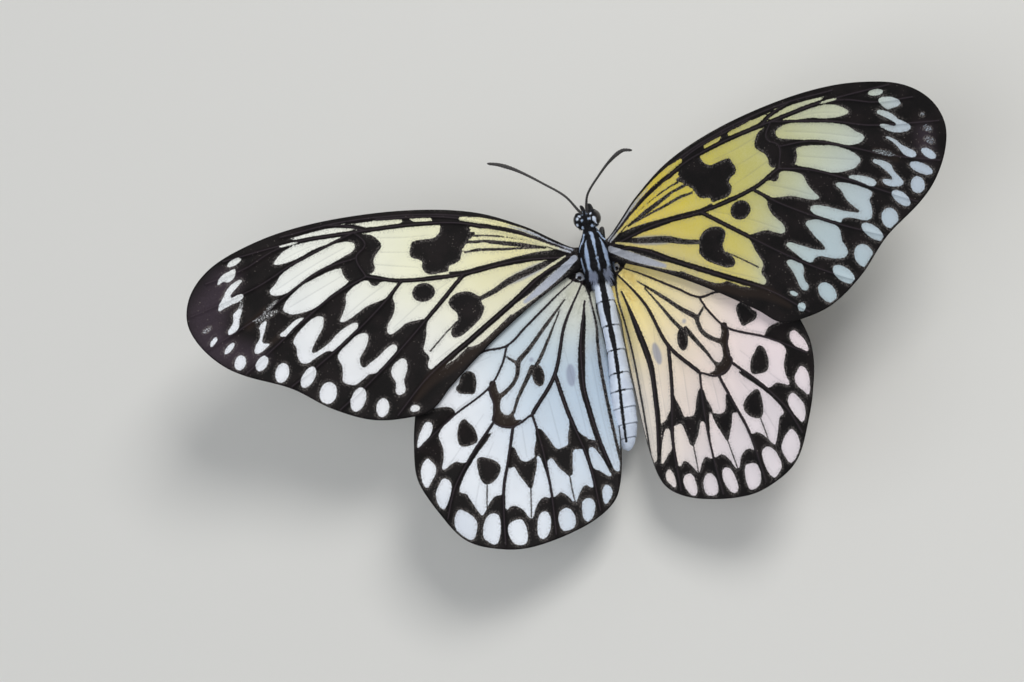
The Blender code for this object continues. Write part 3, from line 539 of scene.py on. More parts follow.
# %% [markdown]
# The hindwing's panes run from its root almost to the margin, and a toothed black band crosses
# them. At the root stands a small pale ring with a black pupil.
# %% Marks of the hindwing
HIND_PALE = shapes(outlines=[
    [(0.15, -4), (0.3, -1), (0.7, 0.3), (1.9, 0.9), (3.5, 2.2), (8, 2.2), (14, 1.1), (19.5, -1.4),
     (24, -4.4), (28, -8.2), (31.3, -12.8), (31.7, -14.4), (30.1, -14.6), (27.7, -14.8), (26.7, -15.4),
     (26.4, -16.4), (27.5, -17.2), (28.8, -18), (29.8, -19.3), (29.5, -20.6), (29.2, -21.9), (29.4, -23.6),
     (29.8, -25.1), (28.8, -24.8), (27.5, -24.3), (26.4, -24.7), (25.4, -24.6), (23.8, -22.7), (21.8, -21),
     (17.6, -21.4), (14, -21.3), (12.9, -21.9), (8, -21.2), (7.4, -21.6), (7.1, -23), (6.4, -24.3),
     (5.5, -25.3), (4.5, -25.8), (4.2, -27.5), (3.2, -29.8), (2.4, -31.3), (1.7, -31.6), (1.2, -28),
     (0.9, -22), (0.5, -12)],
    [(19.8, -20.2), (18.5, -20.8), (17.7, -21.4), (17.95, -23.9), (18.7, -25.6), (19.2, -27.2),
     (20.3, -29.5), (21.2, -31.2), (22.3, -31.2), (23.3, -31.8), (24.3, -33), (25.2, -33.9), (25.5, -33.5),
     (25.9, -32.7), (26.5, -31), (27, -29.8), (27.9, -29.3), (26.9, -27.3), (25.4, -25.5), (23.3, -23.4),
     (21.7, -22), (20.7, -21)],
    [(17.5, -20.7), (13.6, -20.2), (13.5, -21.9), (13.9, -23.7), (14.4, -24.8), (14.7, -26.2),
     (15.8, -26.7), (16.9, -26.5), (17.3, -25.6), (17.95, -23.9), (18, -22)],
    [(8, -20), (13, -20), (12.9, -21.9), (12.3, -22.7), (11.7, -24.05), (11.3, -25.2), (10.8, -25.8),
     (9.7, -25.7), (9.05, -25.5), (8.7, -24.05), (8.1, -22.6), (7.7, -21.4)],
    [(19.2, -27), (18.4, -27.2), (17.9, -28.7), (17.2, -30.2), (16.55, -31.3), (16, -30.6), (15.4, -29.3),
     (14.7, -27.7), (14.2, -26.2), (13.7, -27.2), (13.5, -29.8), (13.4, -32), (13.6, -33.4), (14.7, -33.1),
     (15.6, -33.5), (16.5, -34.6), (17.3, -36), (17.9, -35.9), (18.4, -34.6), (19.6, -33.5), (20.6, -33.5),
     (21.2, -33.9), (21, -31.7), (20.2, -29.3)],
    [(12.9, -27.6), (12.1, -27.1), (11.7, -27.9), (11.2, -29.05), (10.5, -30), (10, -30.6), (9.4, -30.4),
     (9.05, -29.05), (8.7, -27.7), (8.3, -26.6), (7.5, -26.6), (6.6, -26.9), (6.4, -29.3), (6.4, -32.4),
     (6.7, -33.3), (7.7, -32.6), (8.8, -33.5), (9.7, -34.8), (10.1, -35.1), (10.9, -33.8), (11.9, -32.9),
     (13.2, -33.4), (13.1, -31.2), (13, -29)],
    [(5.8, -26.9), (5.1, -26.8), (4.4, -28), (3.8, -29.6), (3.4, -31.2), (3.3, -32.1), (4.05, -31.7),
     (4.8, -30.9), (5.8, -30.1), (5.9, -28.5)],
    [(-1.2, -1.5), (-0.2, -1.4), (0, -5), (0.6, -11), (0.9, -17), (1.05, -24), (1.1, -29), (0.75, -28),
     (0.3, -21), (-0.3, -12), (-0.45, -5), (-0.9, -2.6)],
    [(30.8, -16.9), (30.9, -18.2), (31.7, -19.3), (32.7, -19.9), (33.65, -20.6), (33.5, -19), (32.7, -17.7),
     (31.7, -16.6)],
    [(32.3, -22.7), (31.55, -23.3), (30.9, -24.4), (31.2, -25.6), (32.2, -26.8), (33, -27.5), (33.5, -26.2),
     (33.4, -24.05)],
    [(30.1, -26.6), (29.2, -27.1), (29, -28.1), (29.6, -29.6), (30.4, -30.9), (31.1, -31.55), (31.8, -30.4),
     (31.8, -28.8), (31, -27.5)],
    [(28.8, -32.2), (27.7, -32.7), (26.7, -33.8), (26.3, -34.8), (26.8, -36.4), (27.6, -37.4),
     (28.9, -36.7), (29.7, -35.6), (29.8, -33.8)],
    [(23.7, -33.9), (22.7, -34.3), (22.55, -35.4), (23, -37.5), (24.05, -39), (25.1, -38.4), (25.8, -37.5),
     (25.5, -35.9), (24.8, -34.6)],
    [(19.8, -35.8), (19.05, -36), (18.7, -37.5), (18.8, -38.8), (19.3, -39.9), (20.9, -39.7), (21.6, -38.5),
     (21.55, -36.7), (20.9, -36)],
    [(15.2, -35.4), (14.6, -35.9), (14.5, -37.2), (15.1, -38.8), (16.2, -39.8), (17, -39.3), (16.9, -37.7),
     (16.2, -35.9)],
    [(11.8, -35.6), (10.9, -36.2), (10.55, -37.5), (10.9, -38.8), (11.9, -39.3), (13, -39.05),
     (13.3, -37.7), (12.9, -36.2)],
    [(7.9, -34.8), (7.1, -35.2), (6.9, -36.2), (7.5, -37.7), (8.5, -38.6), (9.2, -38), (9.2, -36.7),
     (8.8, -35.2)],
    [(4.45, -33.3), (3.8, -33.8), (3.7, -34.8), (4.45, -35.9), (5.2, -36.4), (5.4, -35.1), (5.1, -33.9)]])
print(len(HIND_PALE), "pale marks on a hindwing")

# %% [markdown]
# The toothed band, the spots between the veins and the ring at the root.
# %% Black marks and ring of the hindwing
HIND_BLACK = shapes(outlines=[
    [(22.9, -9.8), (21.95, -10.3), (21.8, -11.4), (22.1, -12.8), (22.6, -13.7), (23.8, -13.5),
     (25.1, -13.1), (25.5, -12.2), (24.8, -11.5), (24.05, -10.3)],
    [(25, -17.55), (24.3, -18.3), (23.5, -19.3), (23.1, -20.8), (23.3, -21.8), (24.8, -22.2), (26.2, -21.9),
     (26.55, -20.6), (26.4, -19.3), (25.9, -18.1)],
    [(23.8, -24.45), (22.5, -24.7), (21.2, -25.5), (20.55, -26.55), (20.9, -27.7), (21.95, -28.7),
     (23.4, -29.1), (24.05, -28.4), (24.3, -26.95), (24.2, -25.4)],
    [(17.95, -23.9), (17.3, -25.6), (16.9, -26.55), (15.8, -26.7), (14.6, -26.4), (14.7, -27.7),
     (15.4, -29.3), (16, -30.6), (16.55, -31.3), (17.2, -30.2), (17.9, -28.7), (18.4, -27.2), (19.2, -27.2),
     (18.7, -25.6)],
    [(12.9, -21.9), (12.3, -22.7), (11.7, -24.05), (11.3, -25.2), (10.8, -25.8), (9.7, -25.7),
     (9.05, -25.5), (8.7, -24.05), (8.1, -22.6), (7.7, -21.4), (7.3, -21.7), (7.1, -23), (6.4, -24.3),
     (5.6, -25.2), (6, -26.9), (6.55, -26.7), (7.5, -26.55), (8.3, -26.55), (8.7, -27.7), (9.05, -29.05),
     (9.4, -30.4), (10, -30.6), (10.5, -30), (11.2, -29.05), (11.7, -27.9), (12.1, -27.1), (12.6, -27.1),
     (12.9, -27.7)],
    [(13.5, -21.9), (13.9, -23.7), (14.4, -24.8), (14.7, -26.2), (14.2, -26), (13.8, -27), (13.5, -29),
     (13, -29), (12.9, -27.7), (12.6, -25), (12.9, -22.5)],
    [(19.6, -12.4), (18.7, -12.4), (18.5, -14), (18, -14.8), (16.9, -14.5), (17.2, -15.05), (18, -15.6),
     (18.4, -16.6), (18.3, -17.9), (17.5, -18.6), (16.4, -18.1), (16.55, -19), (16.2, -19.7), (15.4, -19.8),
     (16.9, -20.6), (17.7, -20.8), (19.05, -20.3), (19.8, -19.3), (19.8, -17.7), (19.6, -15.8), (20, -14.5),
     (19.8, -13.2)]], ovals=[
    ((0.75, 2.45), (0.8, 0.68), 1.66), ((11.2, -11.35), (11.2, -15.05), 2.1)], streaks=[
    ([(4.2, -1.6), (6.4, -3.5), (9.05, -5.8), (11.7, -8.2), (13.8, -9.8), (14.4, -10.4)],
     [0.25, 0.42, 0.65, 0.65, 0.8, 0.9]),
    ([(15.8, -9), (14.4, -10.4)], [0.4, 0.6]),
    ([(14.3, -10.6), (14.4, -11.1), (14.8, -12.4), (15.6, -13.5), (16.9, -14.5), (18.2, -15.2)],
     [0.9, 0.75, 0.75, 0.75, 0.75, 0.9]),
    ([(5.4, -3.1), (6.9, -5.3), (8.5, -7.7), (10.1, -10.05), (11.2, -11.4)], [0.25, 0.35, 0.5, 0.6, 0.7]),
    ([(12, -11.6), (12.9, -12.9), (14.05, -14.5), (15.4, -16.4), (16.4, -18.2), (17.2, -19.3)],
     [0.9, 0.8, 0.7, 0.6, 0.5, 0.5]),
    ([(1, -2.5), (1.9, -5.8), (3, -9.8), (3.8, -13), (4.4, -16.4), (4.3, -20.3), (3.9, -26), (2.9, -31)],
     [0.2, 0.8, 1.2, 1.2, 1, 1, 1, 0.6]),
    ([(-0.1, -0.6), (0.1, -5.8), (0.8, -11.1), (1.15, -16.4), (1.3, -24), (1.3, -30)],
     [0.3, 0.4, 0.5, 0.5, 0.5, 0.4]),
    ([(23.4, -29.3), (23.9, -31.5), (24.3, -33.5)], [0.26, 0.26, 0.26]),
    ([(16.55, -31.3), (17, -33.5), (17.5, -35.9)], [0.26, 0.26, 0.26]),
    ([(9.9, -30.6), (10, -33), (10, -35.1)], [0.26, 0.26, 0.26])])
ROOT_RING = (0.75, 1.55)
HIND_STRIPES = shapes(outlines=[
    [(0.8, 2.3), (0.3, 2.05), (0.1, 1.5), (0.3, 0.95), (0.9, 0.85), (1.35, 1.2), (1.45, 1.7), (1.2, 2.15)]])
ROOT_PUPIL = shapes(outlines=[
    [(0.55, 1.6), (0.5, 1.2), (0.85, 0.98), (1.25, 1.25), (1.2, 1.6), (0.85, 1.72)]])
print(len(HIND_BLACK), "black marks on a hindwing")

# %% [markdown]
# A wing's mesh is a grid about as fine as a few scales, cut by its outline. Extra rows of points
# follow each vein, so that the veins stand up as round tubes in the sheet. Both faces are made
# from the same flat triangles and joined round the rim.
# %% The flat mesh of a wing
GRID = 0.21
RIM_STEP, VEIN_STEP = 0.3, 0.3
VEIN_ROWS = (0.0, 0.16, 0.34, 0.55)
LEAST_GAP, RIM_CLEARANCE = 0.14, 0.2


def beside(line, offset):
    """The same line moved sideways."""
    run = headings(line)
    return line + offset * np.stack([-run[:, 1], run[:, 0]], axis=1)


def nearest_gap(places, others, reach):
    """Distance to the closest of the other points, exact up to reach."""
    gap = np.full(len(places), reach)
    order = np.argsort(others[:, 0])
    others = others[order]
    first = np.searchsorted(others[:, 0], places[:, 0] - reach)
    last = np.searchsorted(others[:, 0], places[:, 0] + reach)
    for k, (a, b) in enumerate(zip(first, last)):
        if b > a:
            gap[k] = min(reach, np.sqrt(((others[a:b] - places[k]) ** 2).sum(axis=1).min()))
    return gap


def flat_wing(outline, veins):
    """Points in the wing's plane, its triangles, and how many of the points are its rim."""
    rim = smooth_line(outline, RIM_STEP, closed=True)
    lines = [smooth_line(vein, VEIN_STEP) for vein in veins]
    rows = [beside(line, side * offset) for line in lines for offset in VEIN_ROWS for side in (1, -1)
            if offset or side > 0]
    kept = rim
    for row in rows:
        inside = row[inside_loop(row, rim)]
        inside = inside[gap_to_line(inside, rim, closed=True)[0] > RIM_CLEARANCE] if len(inside) else inside
        if len(inside):
            kept = np.concatenate([kept, inside[nearest_gap(inside, kept, LEAST_GAP) >= LEAST_GAP]])
    low, high = rim.min(axis=0), rim.max(axis=0)
    grid = []
    for k, y in enumerate(np.arange(low[1], high[1], GRID * 0.866)):
        across = np.arange(low[0] + (k % 2) * GRID / 2, high[0], GRID)
        grid.append(np.stack([across, np.full(len(across), y)], axis=1))
    grid = np.concatenate(grid)
    grid = grid[inside_loop(grid, rim)]
    grid = grid[nearest_gap(grid, kept, GRID * 0.7) >= GRID * 0.7]
    points = np.concatenate([kept, grid])
    found = delaunay_2d_cdt([Vector(p) for p in points], [], [list(range(len(rim)))], 1, 1e-5)
    return np.array([tuple(p) for p in found[0]]), np.array(found[2]), len(rim)


FORE_FLAT = flat_wing(FORE_OUTLINE, FORE_VEINS)
HIND_FLAT = flat_wing(HIND_OUTLINE, HIND_VEINS)
print("triangles on one face: forewing", len(FORE_FLAT[1]), "hindwing", len(HIND_FLAT[1]))

# %% [markdown]
# Fainter marks lie over the black and the panes: brown and grey scales, creases that run along
# inside the panes and are darkened as painted shade, half-dark marks where only a dust of pale
# scales lies on the black, and a painted purple-brown sheen on the black near the forewing's tip.
# %% Faint marks of both wings
FORE_BROWN = shapes(streaks=[
    ([(14, -7.9), (18, -10.3), (22.5, -12.4), (27, -14), (31, -17.2)], [0.6, 1.2, 2.2, 2.2, 0.8]),
    ([(61.6, 1.5), (59.8, 2.1)], [1.2, 0.8]), ([(55.2, 0.6), (52, 2.7)], [1.2, 0.9]),
    ([(52.4, -2.9), (50, -1.7)], [0.8, 0.6])])
HIND_BROWN = shapes(outlines=[
    [(19.6, -12.4), (18.7, -12.4), (18.3, -14), (17, -14.5), (17.5, -15.8), (18.4, -16.6), (17.7, -18.5),
     (16.4, -18.4), (15.5, -20), (17.7, -20.9), (19.6, -19.9), (19.8, -17.7)]])
FORE_GREY = shapes(ovals=[((13.2, -1.6), (4.5, 0.4), 1.6)])
FORE_DUSTED = {
    "left": shapes(ovals=[
        ((62.8, 1.2), (61.2, 1.9), 0.7), ((55.4, 5), (57.2, 1), 0.9), ((54.4, 1.1), (50, 2.2), 1),
        ((52.7, 2), (49.4, 4), 0.8)]),
    "right": shapes(ovals=[
        ((60.99, 6.19), (61.8, 5.7), 0.7), ((61.18, 4.19), (62.44, 3.07), 1),
        ((60.8, 2.36), (62.46, 1.13), 1), ((51.56, 2.83), (55.36, 1.01), 0.85)])}
# Creases inside the panes: the bump sinks them, and their colour is darkened as painted shade.
FORE_FOLDS = shapes(streaks=[
    ([(34, 8.6), (29, 7.4), (26.5, 6.9)], [0.1, 0.1, 0.02]),
    ([(34.2, 6.6), (29.5, 5.2), (26, 4.2)], [0.1, 0.1, 0.02]),
    ([(33, 10.8), (27.5, 9.6), (23, 9)], [0.08, 0.1, 0.02]),
    ([(49.5, 5.6), (43, 8.1), (37, 10)], [0.06, 0.1, 0.06]),
    ([(48, 2.3), (43, 4), (38.5, 5.5)], [0.06, 0.1, 0.06]),
    ([(39.5, -1.2), (35, 1.2), (32, 2.5)], [0.06, 0.1, 0.04]),
    ([(47.5, 10.2), (43, 11.3), (39, 11.6)], [0.05, 0.08, 0.04]),
    ([(32.2, -4.8), (26, -1.2), (21, 1)], [0.06, 0.1, 0.04]),
    ([(26.5, -11.6), (19, -7.9), (12, -4.2)], [0.06, 0.1, 0.04])])
HIND_FOLDS = shapes(streaks=[
    ([(30, -17.6), (25, -15.2), (21.5, -13.9)], [0.08, 0.1, 0.04]),
    ([(28.6, -24.6), (25, -21), (21.5, -17.5)], [0.08, 0.1, 0.04]),
    ([(30.5, -13.4), (24, -9.6), (18.5, -8.2)], [0.08, 0.1, 0.04]),
    ([(26, -32), (23.5, -26.5), (20.8, -22.5)], [0.08, 0.1, 0.04]),
    ([(16, -26), (15.8, -23), (15.6, -20.9)], [0.06, 0.08, 0.04]),
    ([(10.2, -25.4), (10.3, -21), (10.4, -17.5)], [0.08, 0.1, 0.04]),
    ([(5.6, -25), (5.6, -20), (6, -9.5)], [0.06, 0.08, 0.03]),
    ([(2.3, -30.5), (2.4, -22), (2, -12)], [0.06, 0.08, 0.03]),
    ([(17.2, -16), (12.5, -9.8), (7, -4)], [0.05, 0.06, 0.02])])
HIND_GREY = shapes(ovals=[
    ((5.6, -12.4), (6.2, -16.2), 1.6), ((12, -9.9), (11.8, -10.7), 0.8)], streaks=[
    ([(0.2, -3), (0.3, -9), (0.6, -16)], [0.2, 0.3, 0.15])])
# A painted purple-brown sheen on the black near each forewing's tip: broad on the left, a thin streak on the
# right.
FORE_TIP_SHEEN = {
    "left": shapes(streaks=[([(57.5, 8.5), (61.5, 3.5), (60.5, -2), (55, -4.5)], [3, 5, 4, 1.5])]),
    "right": shapes(streaks=[([(61, 3), (60.5, 0)], [0.5, 0.5])])}
print(len(FORE_FOLDS) + len(HIND_FOLDS), "creases and", sum(map(len, FORE_DUSTED.values())), "dusted marks")

# %% [markdown]
# The panes' tints stand at spots and spread from them. On the left the forewing runs from warm
# cream at its base to cool white, and the hindwing is bluish and darker where painted shade from
# the forewing and the body lies on it. On the right both are warmer and darker: their yellow is
# partly their own and partly painted light shining through, and their darker, greyer tints are
# painted shade.
# %% Tints of the panes
FORE_TINTS_LIGHT_AND_SHADE = {
    "left": [
        ((2, 1), 5, (0.6, 0.64, 0.6)), ((7, 3), 9, (0.78, 0.7, 0.26)), ((24, 7), 13, (0.86, 0.86, 0.6)),
        ((15, -5), 10, (0.86, 0.82, 0.52)), ((9, -7), 7, (0.56, 0.58, 0.62)),
        ((24, -9), 8, (0.84, 0.86, 0.9)), ((42, 8), 12, (0.88, 0.9, 0.84)),
        ((42, -8), 12, (0.84, 0.86, 0.91)), ((56, -3), 10, (0.84, 0.88, 0.95))],
    # The right forewing is painted darker and greyer as shade, and its yellow is partly its own and partly
    # painted light shining through.
    "right": [
        ((2, 1), 4, (0.52, 0.5, 0.3)), ((7, 3), 11, (0.8, 0.6, 0.02)), ((22, 6), 11, (0.58, 0.51, 0.07)),
        ((31, 7), 8, (0.5, 0.48, 0.14)), ((16, -5), 9, (0.68, 0.58, 0.14)), ((9, -8), 7, (0.42, 0.4, 0.44)),
        ((42, 9), 10, (0.58, 0.61, 0.4)), ((42, -8), 11, (0.46, 0.57, 0.62)),
        ((56, -3), 11, (0.48, 0.56, 0.66))]}
HIND_TINTS_LIGHT_AND_SHADE = {
    # The left hindwing's bluish, darker tints are painted shade from the forewing and the body.
    "left": [
        ((3, -4), 6, (0.76, 0.72, 0.53)), ((4, -13), 9, (0.38, 0.5, 0.64)),
        ((12, -7), 9, (0.54, 0.66, 0.73)), ((11, -20), 9, (0.54, 0.66, 0.8)),
        ((25, -15), 12, (0.86, 0.89, 0.94)), ((20, -34), 11, (0.82, 0.87, 0.94)),
        ((30, -36), 5, (0.58, 0.64, 0.74)), ((8, -38), 6, (0.54, 0.63, 0.74))],
    # The right hindwing's yellow and pink are partly its own colour and partly painted warm light shining
    # through.
    "right": [
        ((3, -3), 9, (0.88, 0.7, 0.16)), ((9, -9), 10, (0.87, 0.76, 0.44)),
        ((11, -20), 9, (0.86, 0.71, 0.64)), ((3, -24), 7, (0.86, 0.8, 0.7)),
        ((24, -14), 12, (0.82, 0.7, 0.73)), ((22, -32), 12, (0.8, 0.74, 0.78))]}


def blend_tints(places, tints):
    """Tints that stand at spots with a reach each, blended over the places."""
    weights = np.stack([np.exp(-((places - spot) ** 2).sum(axis=1) / reach ** 2) for spot, reach, _ in tints])
    weights = weights / np.maximum(weights.sum(axis=0), 1e-9)
    return weights.T @ np.array([colour for _, _, colour in tints])


print(len(FORE_TINTS_LIGHT_AND_SHADE["left"]), "tints on the left forewing")

# %% [markdown]
# The pattern is kept on the mesh as plain numbers, one for each point: how deep the point lies in
# black, in each kind of faint mark and in a crease, and how far it is from the nearest vein and
# from the rim. Each vein has a black edging of its own width, narrower at the root and the tip.
# %% Numbers of the wings
FORE_EDGING = [1.15, 0.45, 0.8, 0.45, 0.55, 0.5, 0.7, 0.5, 0.55, 0.6, 0.75, 0.75, 1.0]
HIND_EDGING = [0.9, 0.4, 0.4, 0.4, 0.5, 0.55, 0.45, 0.7, 0.75, 0.6]


def vein_gap(places, veins):
    """Distance to the nearest vein, and which vein that is."""
    gap, line_number = np.full(len(places), 1e9), np.zeros(len(places), int)
    for k, vein in enumerate(veins):
        line = smooth_line(vein, STREAK_STEP)
        d = -depth_of(places, line, lambda spots: -gap_to_line(spots, line)[0])
        closer = d < gap
        gap[closer], line_number[closer] = d[closer], k
    return gap, line_number


EDGING_AT_ROOT, EDGING_FULL_AT = 0.45, 9
EDGING_AT_TIP, TIP_FROM, TIP_REACH = 0.15, 46, 6
RIM_AT_ROOT, RIM_WIDER = 0.12, 0.26
DUST_SLOPE, DUST_LEAST = -2.2, 0.03
SHOWN_MARKS = ("brown", "grey", "blue", "fold", "dusk")


def wing_pattern(flat, outline, veins, edging, marks):
    """The numbers at each of the wing's points, from its veins and from the marks of each kind."""
    places = flat[0]
    u = places[:, 0]
    depth = {kind: deepest(places, some) for kind, some in marks.items()}
    gap, which = vein_gap(places, veins)
    width = np.array(edging)[which] / 2 * (1 - (1 - EDGING_AT_TIP) * smoothstep((u - TIP_FROM) / TIP_REACH))
    edge = width * (EDGING_AT_ROOT + (1 - EDGING_AT_ROOT) * smoothstep(u / EDGING_FULL_AT)) - gap
    edge -= 0.4 * smoothstep((u - 48) / 5)
    rim_gap = gap_to_line(places, smooth_line(outline, RIM_STEP, closed=True), closed=True)[0]
    whole_ovals = deepest(places, [mark for mark in marks["pale"] if mark[0] is oval_mark])
    ink = np.maximum.reduce([-depth["pale"], depth["black"], edge])
    ink = np.minimum.reduce([ink, -depth["stripe"], -whole_ovals,
                             np.maximum(DUST_SLOPE * depth["dusted"], DUST_LEAST)])
    ink = np.maximum.reduce([ink, RIM_AT_ROOT + RIM_WIDER * smoothstep(u / 3) - rim_gap, depth["pupil"]])
    numbers = {"ink": ink, "vein": gap, "rim": rim_gap, **{kind: depth[kind] for kind in SHOWN_MARKS}}
    return {kind: np.clip(values, -FAR, FAR) for kind, values in numbers.items()}


HIND_PATTERN = wing_pattern(HIND_FLAT, HIND_OUTLINE, HIND_VEINS, HIND_EDGING, {
    "pale": HIND_PALE, "black": HIND_BLACK, "stripe": HIND_STRIPES, "pupil": ROOT_PUPIL, "dusted": [],
    "brown": HIND_BROWN, "grey": HIND_GREY, "blue": HIND_STRIPES, "fold": HIND_FOLDS, "dusk": []})
WINGS = {}
for side in SIDES:
    fore_pattern = wing_pattern(FORE_FLAT, FORE_OUTLINE, FORE_VEINS, FORE_EDGING, {
        "pale": FORE_PALE + FORE_OUTER_PALE[side], "black": FORE_BLACK, "stripe": FORE_STRIPES, "pupil": [],
        "dusted": FORE_DUSTED[side], "brown": FORE_BROWN, "grey": FORE_GREY, "blue": FORE_BLUE,
        "fold": FORE_FOLDS, "dusk": FORE_TIP_SHEEN[side]})
    for title, flat, pattern, tints, outline, sheet in (
            ("forewing", FORE_FLAT, fore_pattern, FORE_TINTS_LIGHT_AND_SHADE, FORE_OUTLINE, fore_sheet),
            ("hindwing", HIND_FLAT, HIND_PATTERN, HIND_TINTS_LIGHT_AND_SHADE, HIND_OUTLINE, hind_sheet)):
        pattern = {**pattern, "tint": blend_tints(flat[0], tints[side])}
        WINGS[f"{title}_{side}"] = (side, flat, pattern, outline, sheet)
        black = round(100 * float((pattern["ink"] > 0).mean()))
        print(title, side, "is black over", black, "% of its points")

# %% [markdown]
# The scales are far finer than the mesh, so the material draws them: cells a tenth of a
# millimetre wide give the surface its grain, and their noise frays every edge of the black. Black
# scales also dust the panes close to the marks. The shader mixes from numbers on the mesh, which
# stay with the wing however it is seen.
# %% Nodes of a material
def tree_node(tree, kind, values=None, links=None, **settings):
    """A node with its settings, its sockets' values and its incoming links."""
    node = tree.nodes.new(kind)
    for name, value in settings.items():
        setattr(node, name, value)
    for socket, value in (values or {}).items():
        node.inputs[socket].default_value = value
    for socket, source in (links or {}).items():
        tree.links.new(source, node.inputs[socket])
    return node


def add_node(material, kind, values=None, links=None, **settings):
    return tree_node(material.node_tree, kind, values, links, **settings)


def link(material, source, shader, socket):
    material.node_tree.links.new(source, shader.inputs[socket])


def millimetres(material):
    """Object coordinates in millimetres."""
    coordinates = add_node(material, "ShaderNodeTexCoord")
    return add_node(material, "ShaderNodeVectorMath", {1: (1000.0,) * 3}, {0: coordinates.outputs["Object"]},
                    operation="MULTIPLY").outputs[0]


def attribute(material, name, output="Fac"):
    """What the mesh carries under this name: a number, or a colour from the output "Color"."""
    return add_node(material, "ShaderNodeAttribute", attribute_name=name).outputs[output]


def feed(material, node, socket, item):
    """Sets a socket to a number or a colour, or links another socket to it."""
    if isinstance(item, (int, float)):
        node.inputs[socket].default_value = item
    elif isinstance(item, tuple):
        node.inputs[socket].default_value = (*item, 1.0)
    else:
        link(material, item, node, socket)


def math_node(material, operation, a, b):
    """One sum of two sockets or numbers."""
    node = add_node(material, "ShaderNodeMath", operation=operation)
    feed(material, node, 0, a)
    feed(material, node, 1, b)
    return node.outputs[0]


print("node helpers are ready")

# %% [markdown]
# Colours mix by smooth ramps, and fine patterns come from cells and clouds of a given size.
# %% Colours and bumps
def ramp(material, source, low, high, start=0.0, end=1.0):
    """Smooth rise from start to end while the source goes from low to high."""
    return add_node(material, "ShaderNodeMapRange", {1: low, 2: high, 3: start, 4: end}, {0: source},
                    interpolation_type="SMOOTHSTEP").outputs[0]


def mixed(material, amount, a, b):
    """Colour between a and b, each a socket or a plain colour."""
    node = add_node(material, "ShaderNodeMix", data_type="RGBA")
    for socket, item in ((0, amount), (6, a), (7, b)):
        feed(material, node, socket, item)
    return node.outputs[2]


def layered(material, colour, layers):
    """Colours laid one over another; each row has its driver, range, two strengths and colour."""
    for source, low, high, start, end, shade in layers:
        colour = mixed(material, ramp(material, source, low, high, start, end), colour, shade)
    return colour


def cells(material, places, size, **settings):
    return add_node(material, "ShaderNodeTexVoronoi", {"Scale": 1.0 / size}, {"Vector": places}, **settings)


def cloud(material, places, size, detail=2.0):
    return add_node(material, "ShaderNodeTexNoise", {"Scale": 1.0 / size, "Detail": detail},
                    {"Vector": places}).outputs[0]


def frayed(material, ink, noise, amount):
    """The depth in black, moved to and fro by a noise."""
    shift = math_node(material, "MULTIPLY", math_node(material, "SUBTRACT", noise, 0.5), amount)
    return math_node(material, "ADD", ink, shift)


def bumped(material, shader, height, strength, distance, **settings):
    """Lets the height tilt the shader's normal."""
    bump = add_node(material, "ShaderNodeBump", {"Strength": strength, "Distance": distance},
                    {"Height": height}, **settings)
    link(material, bump.outputs[0], shader, "Normal")


print("material helpers are ready")

# %% [markdown]
# One material serves the four wings. It mixes a pane's colour with soot by the frayed depth in
# black. Pale scales spill over the soot beside each mark, and black ones lie on the panes. Some of
# the colour is painted light: glints on the panes' scales, shade in their creases, a highlight
# along the veins' crests and a purple-brown sheen near the forewing's tip.
# %% Scales of the wings
SCALE_SIZE, GRAIN_SIZE, CLOUD_SIZE = 0.13, 0.22, 3.5


def pane_colour(material, ink, fold, clouds, speck):
    # The pane's tint, which holds painted light and shade as well as the wing's own colours.
    pane = layered(material, attribute(material, "tint", "Color"), [
        (clouds, 0.3, 0.75, 0.0, 0.10, (0.45, 0.48, 0.50)),
        # Scales are lightened at random towards white, by up to six in a hundred: painted glints.
        (speck, 0.2, 0.9, 0.0, 0.06, (0.95, 0.95, 0.92)),
        (attribute(material, "blue"), -0.25, 0.25, 0.0, 0.8, (0.37, 0.42, 0.57)),
        (attribute(material, "grey"), -0.25, 0.35, 0.0, 0.72, (0.26, 0.29, 0.40)),
        # Creases are darkened to a bluish grey: painted shade in the creases.
        (fold, -0.16, 0.06, 0.0, 0.22, (0.14, 0.14, 0.17))])
    dust = math_node(material, "MULTIPLY", ramp(material, ink, -0.9, 0.05, 0.0, 0.42),
                     ramp(material, speck, 0.45, 0.75))
    return mixed(material, dust, pane, (0.16, 0.15, 0.16))


def soot_colour(material, ink, vein, clouds, speck):
    soot = layered(material, (0.003, 0.0025, 0.0027), [
        (clouds, 0.35, 0.7, 0.0, 1.0, (0.009, 0.0065, 0.007)),
        (attribute(material, "brown"), -0.5, 0.6, 0.0, 1.0, (0.020, 0.013, 0.010)),
        # Near the forewing's tip the black is lightened to purple-brown: a painted sheen.
        (attribute(material, "dusk"), -2.8, 1.5, 0.0, 0.8, (0.050, 0.036, 0.050)),
        (speck, 0.3, 0.9, 0.0, 0.3, (0.02, 0.016, 0.016))])
    strays = math_node(material, "MULTIPLY", ramp(material, speck, 0.90, 0.95, 0.0, 0.45),
                       ramp(material, clouds, 0.42, 0.6))
    soot = mixed(material, strays, soot, (0.30, 0.27, 0.24))
    spilled = math_node(material, "MULTIPLY", ramp(material, ink, 0.05, 0.75, 0.55, 0.0),
                        ramp(material, speck, 0.5, 0.75))
    spilled = math_node(material, "MULTIPLY", spilled, ramp(material, vein, 0.4, 0.9))
    soot = mixed(material, spilled, soot, (0.24, 0.22, 0.21))
    # Along the veins the black is lightened to purplish grey: a painted highlight on the veins' crests.
    return layered(material, soot, [(vein, 0.02, 0.2, 0.55, 0.0, (0.045, 0.034, 0.043))])


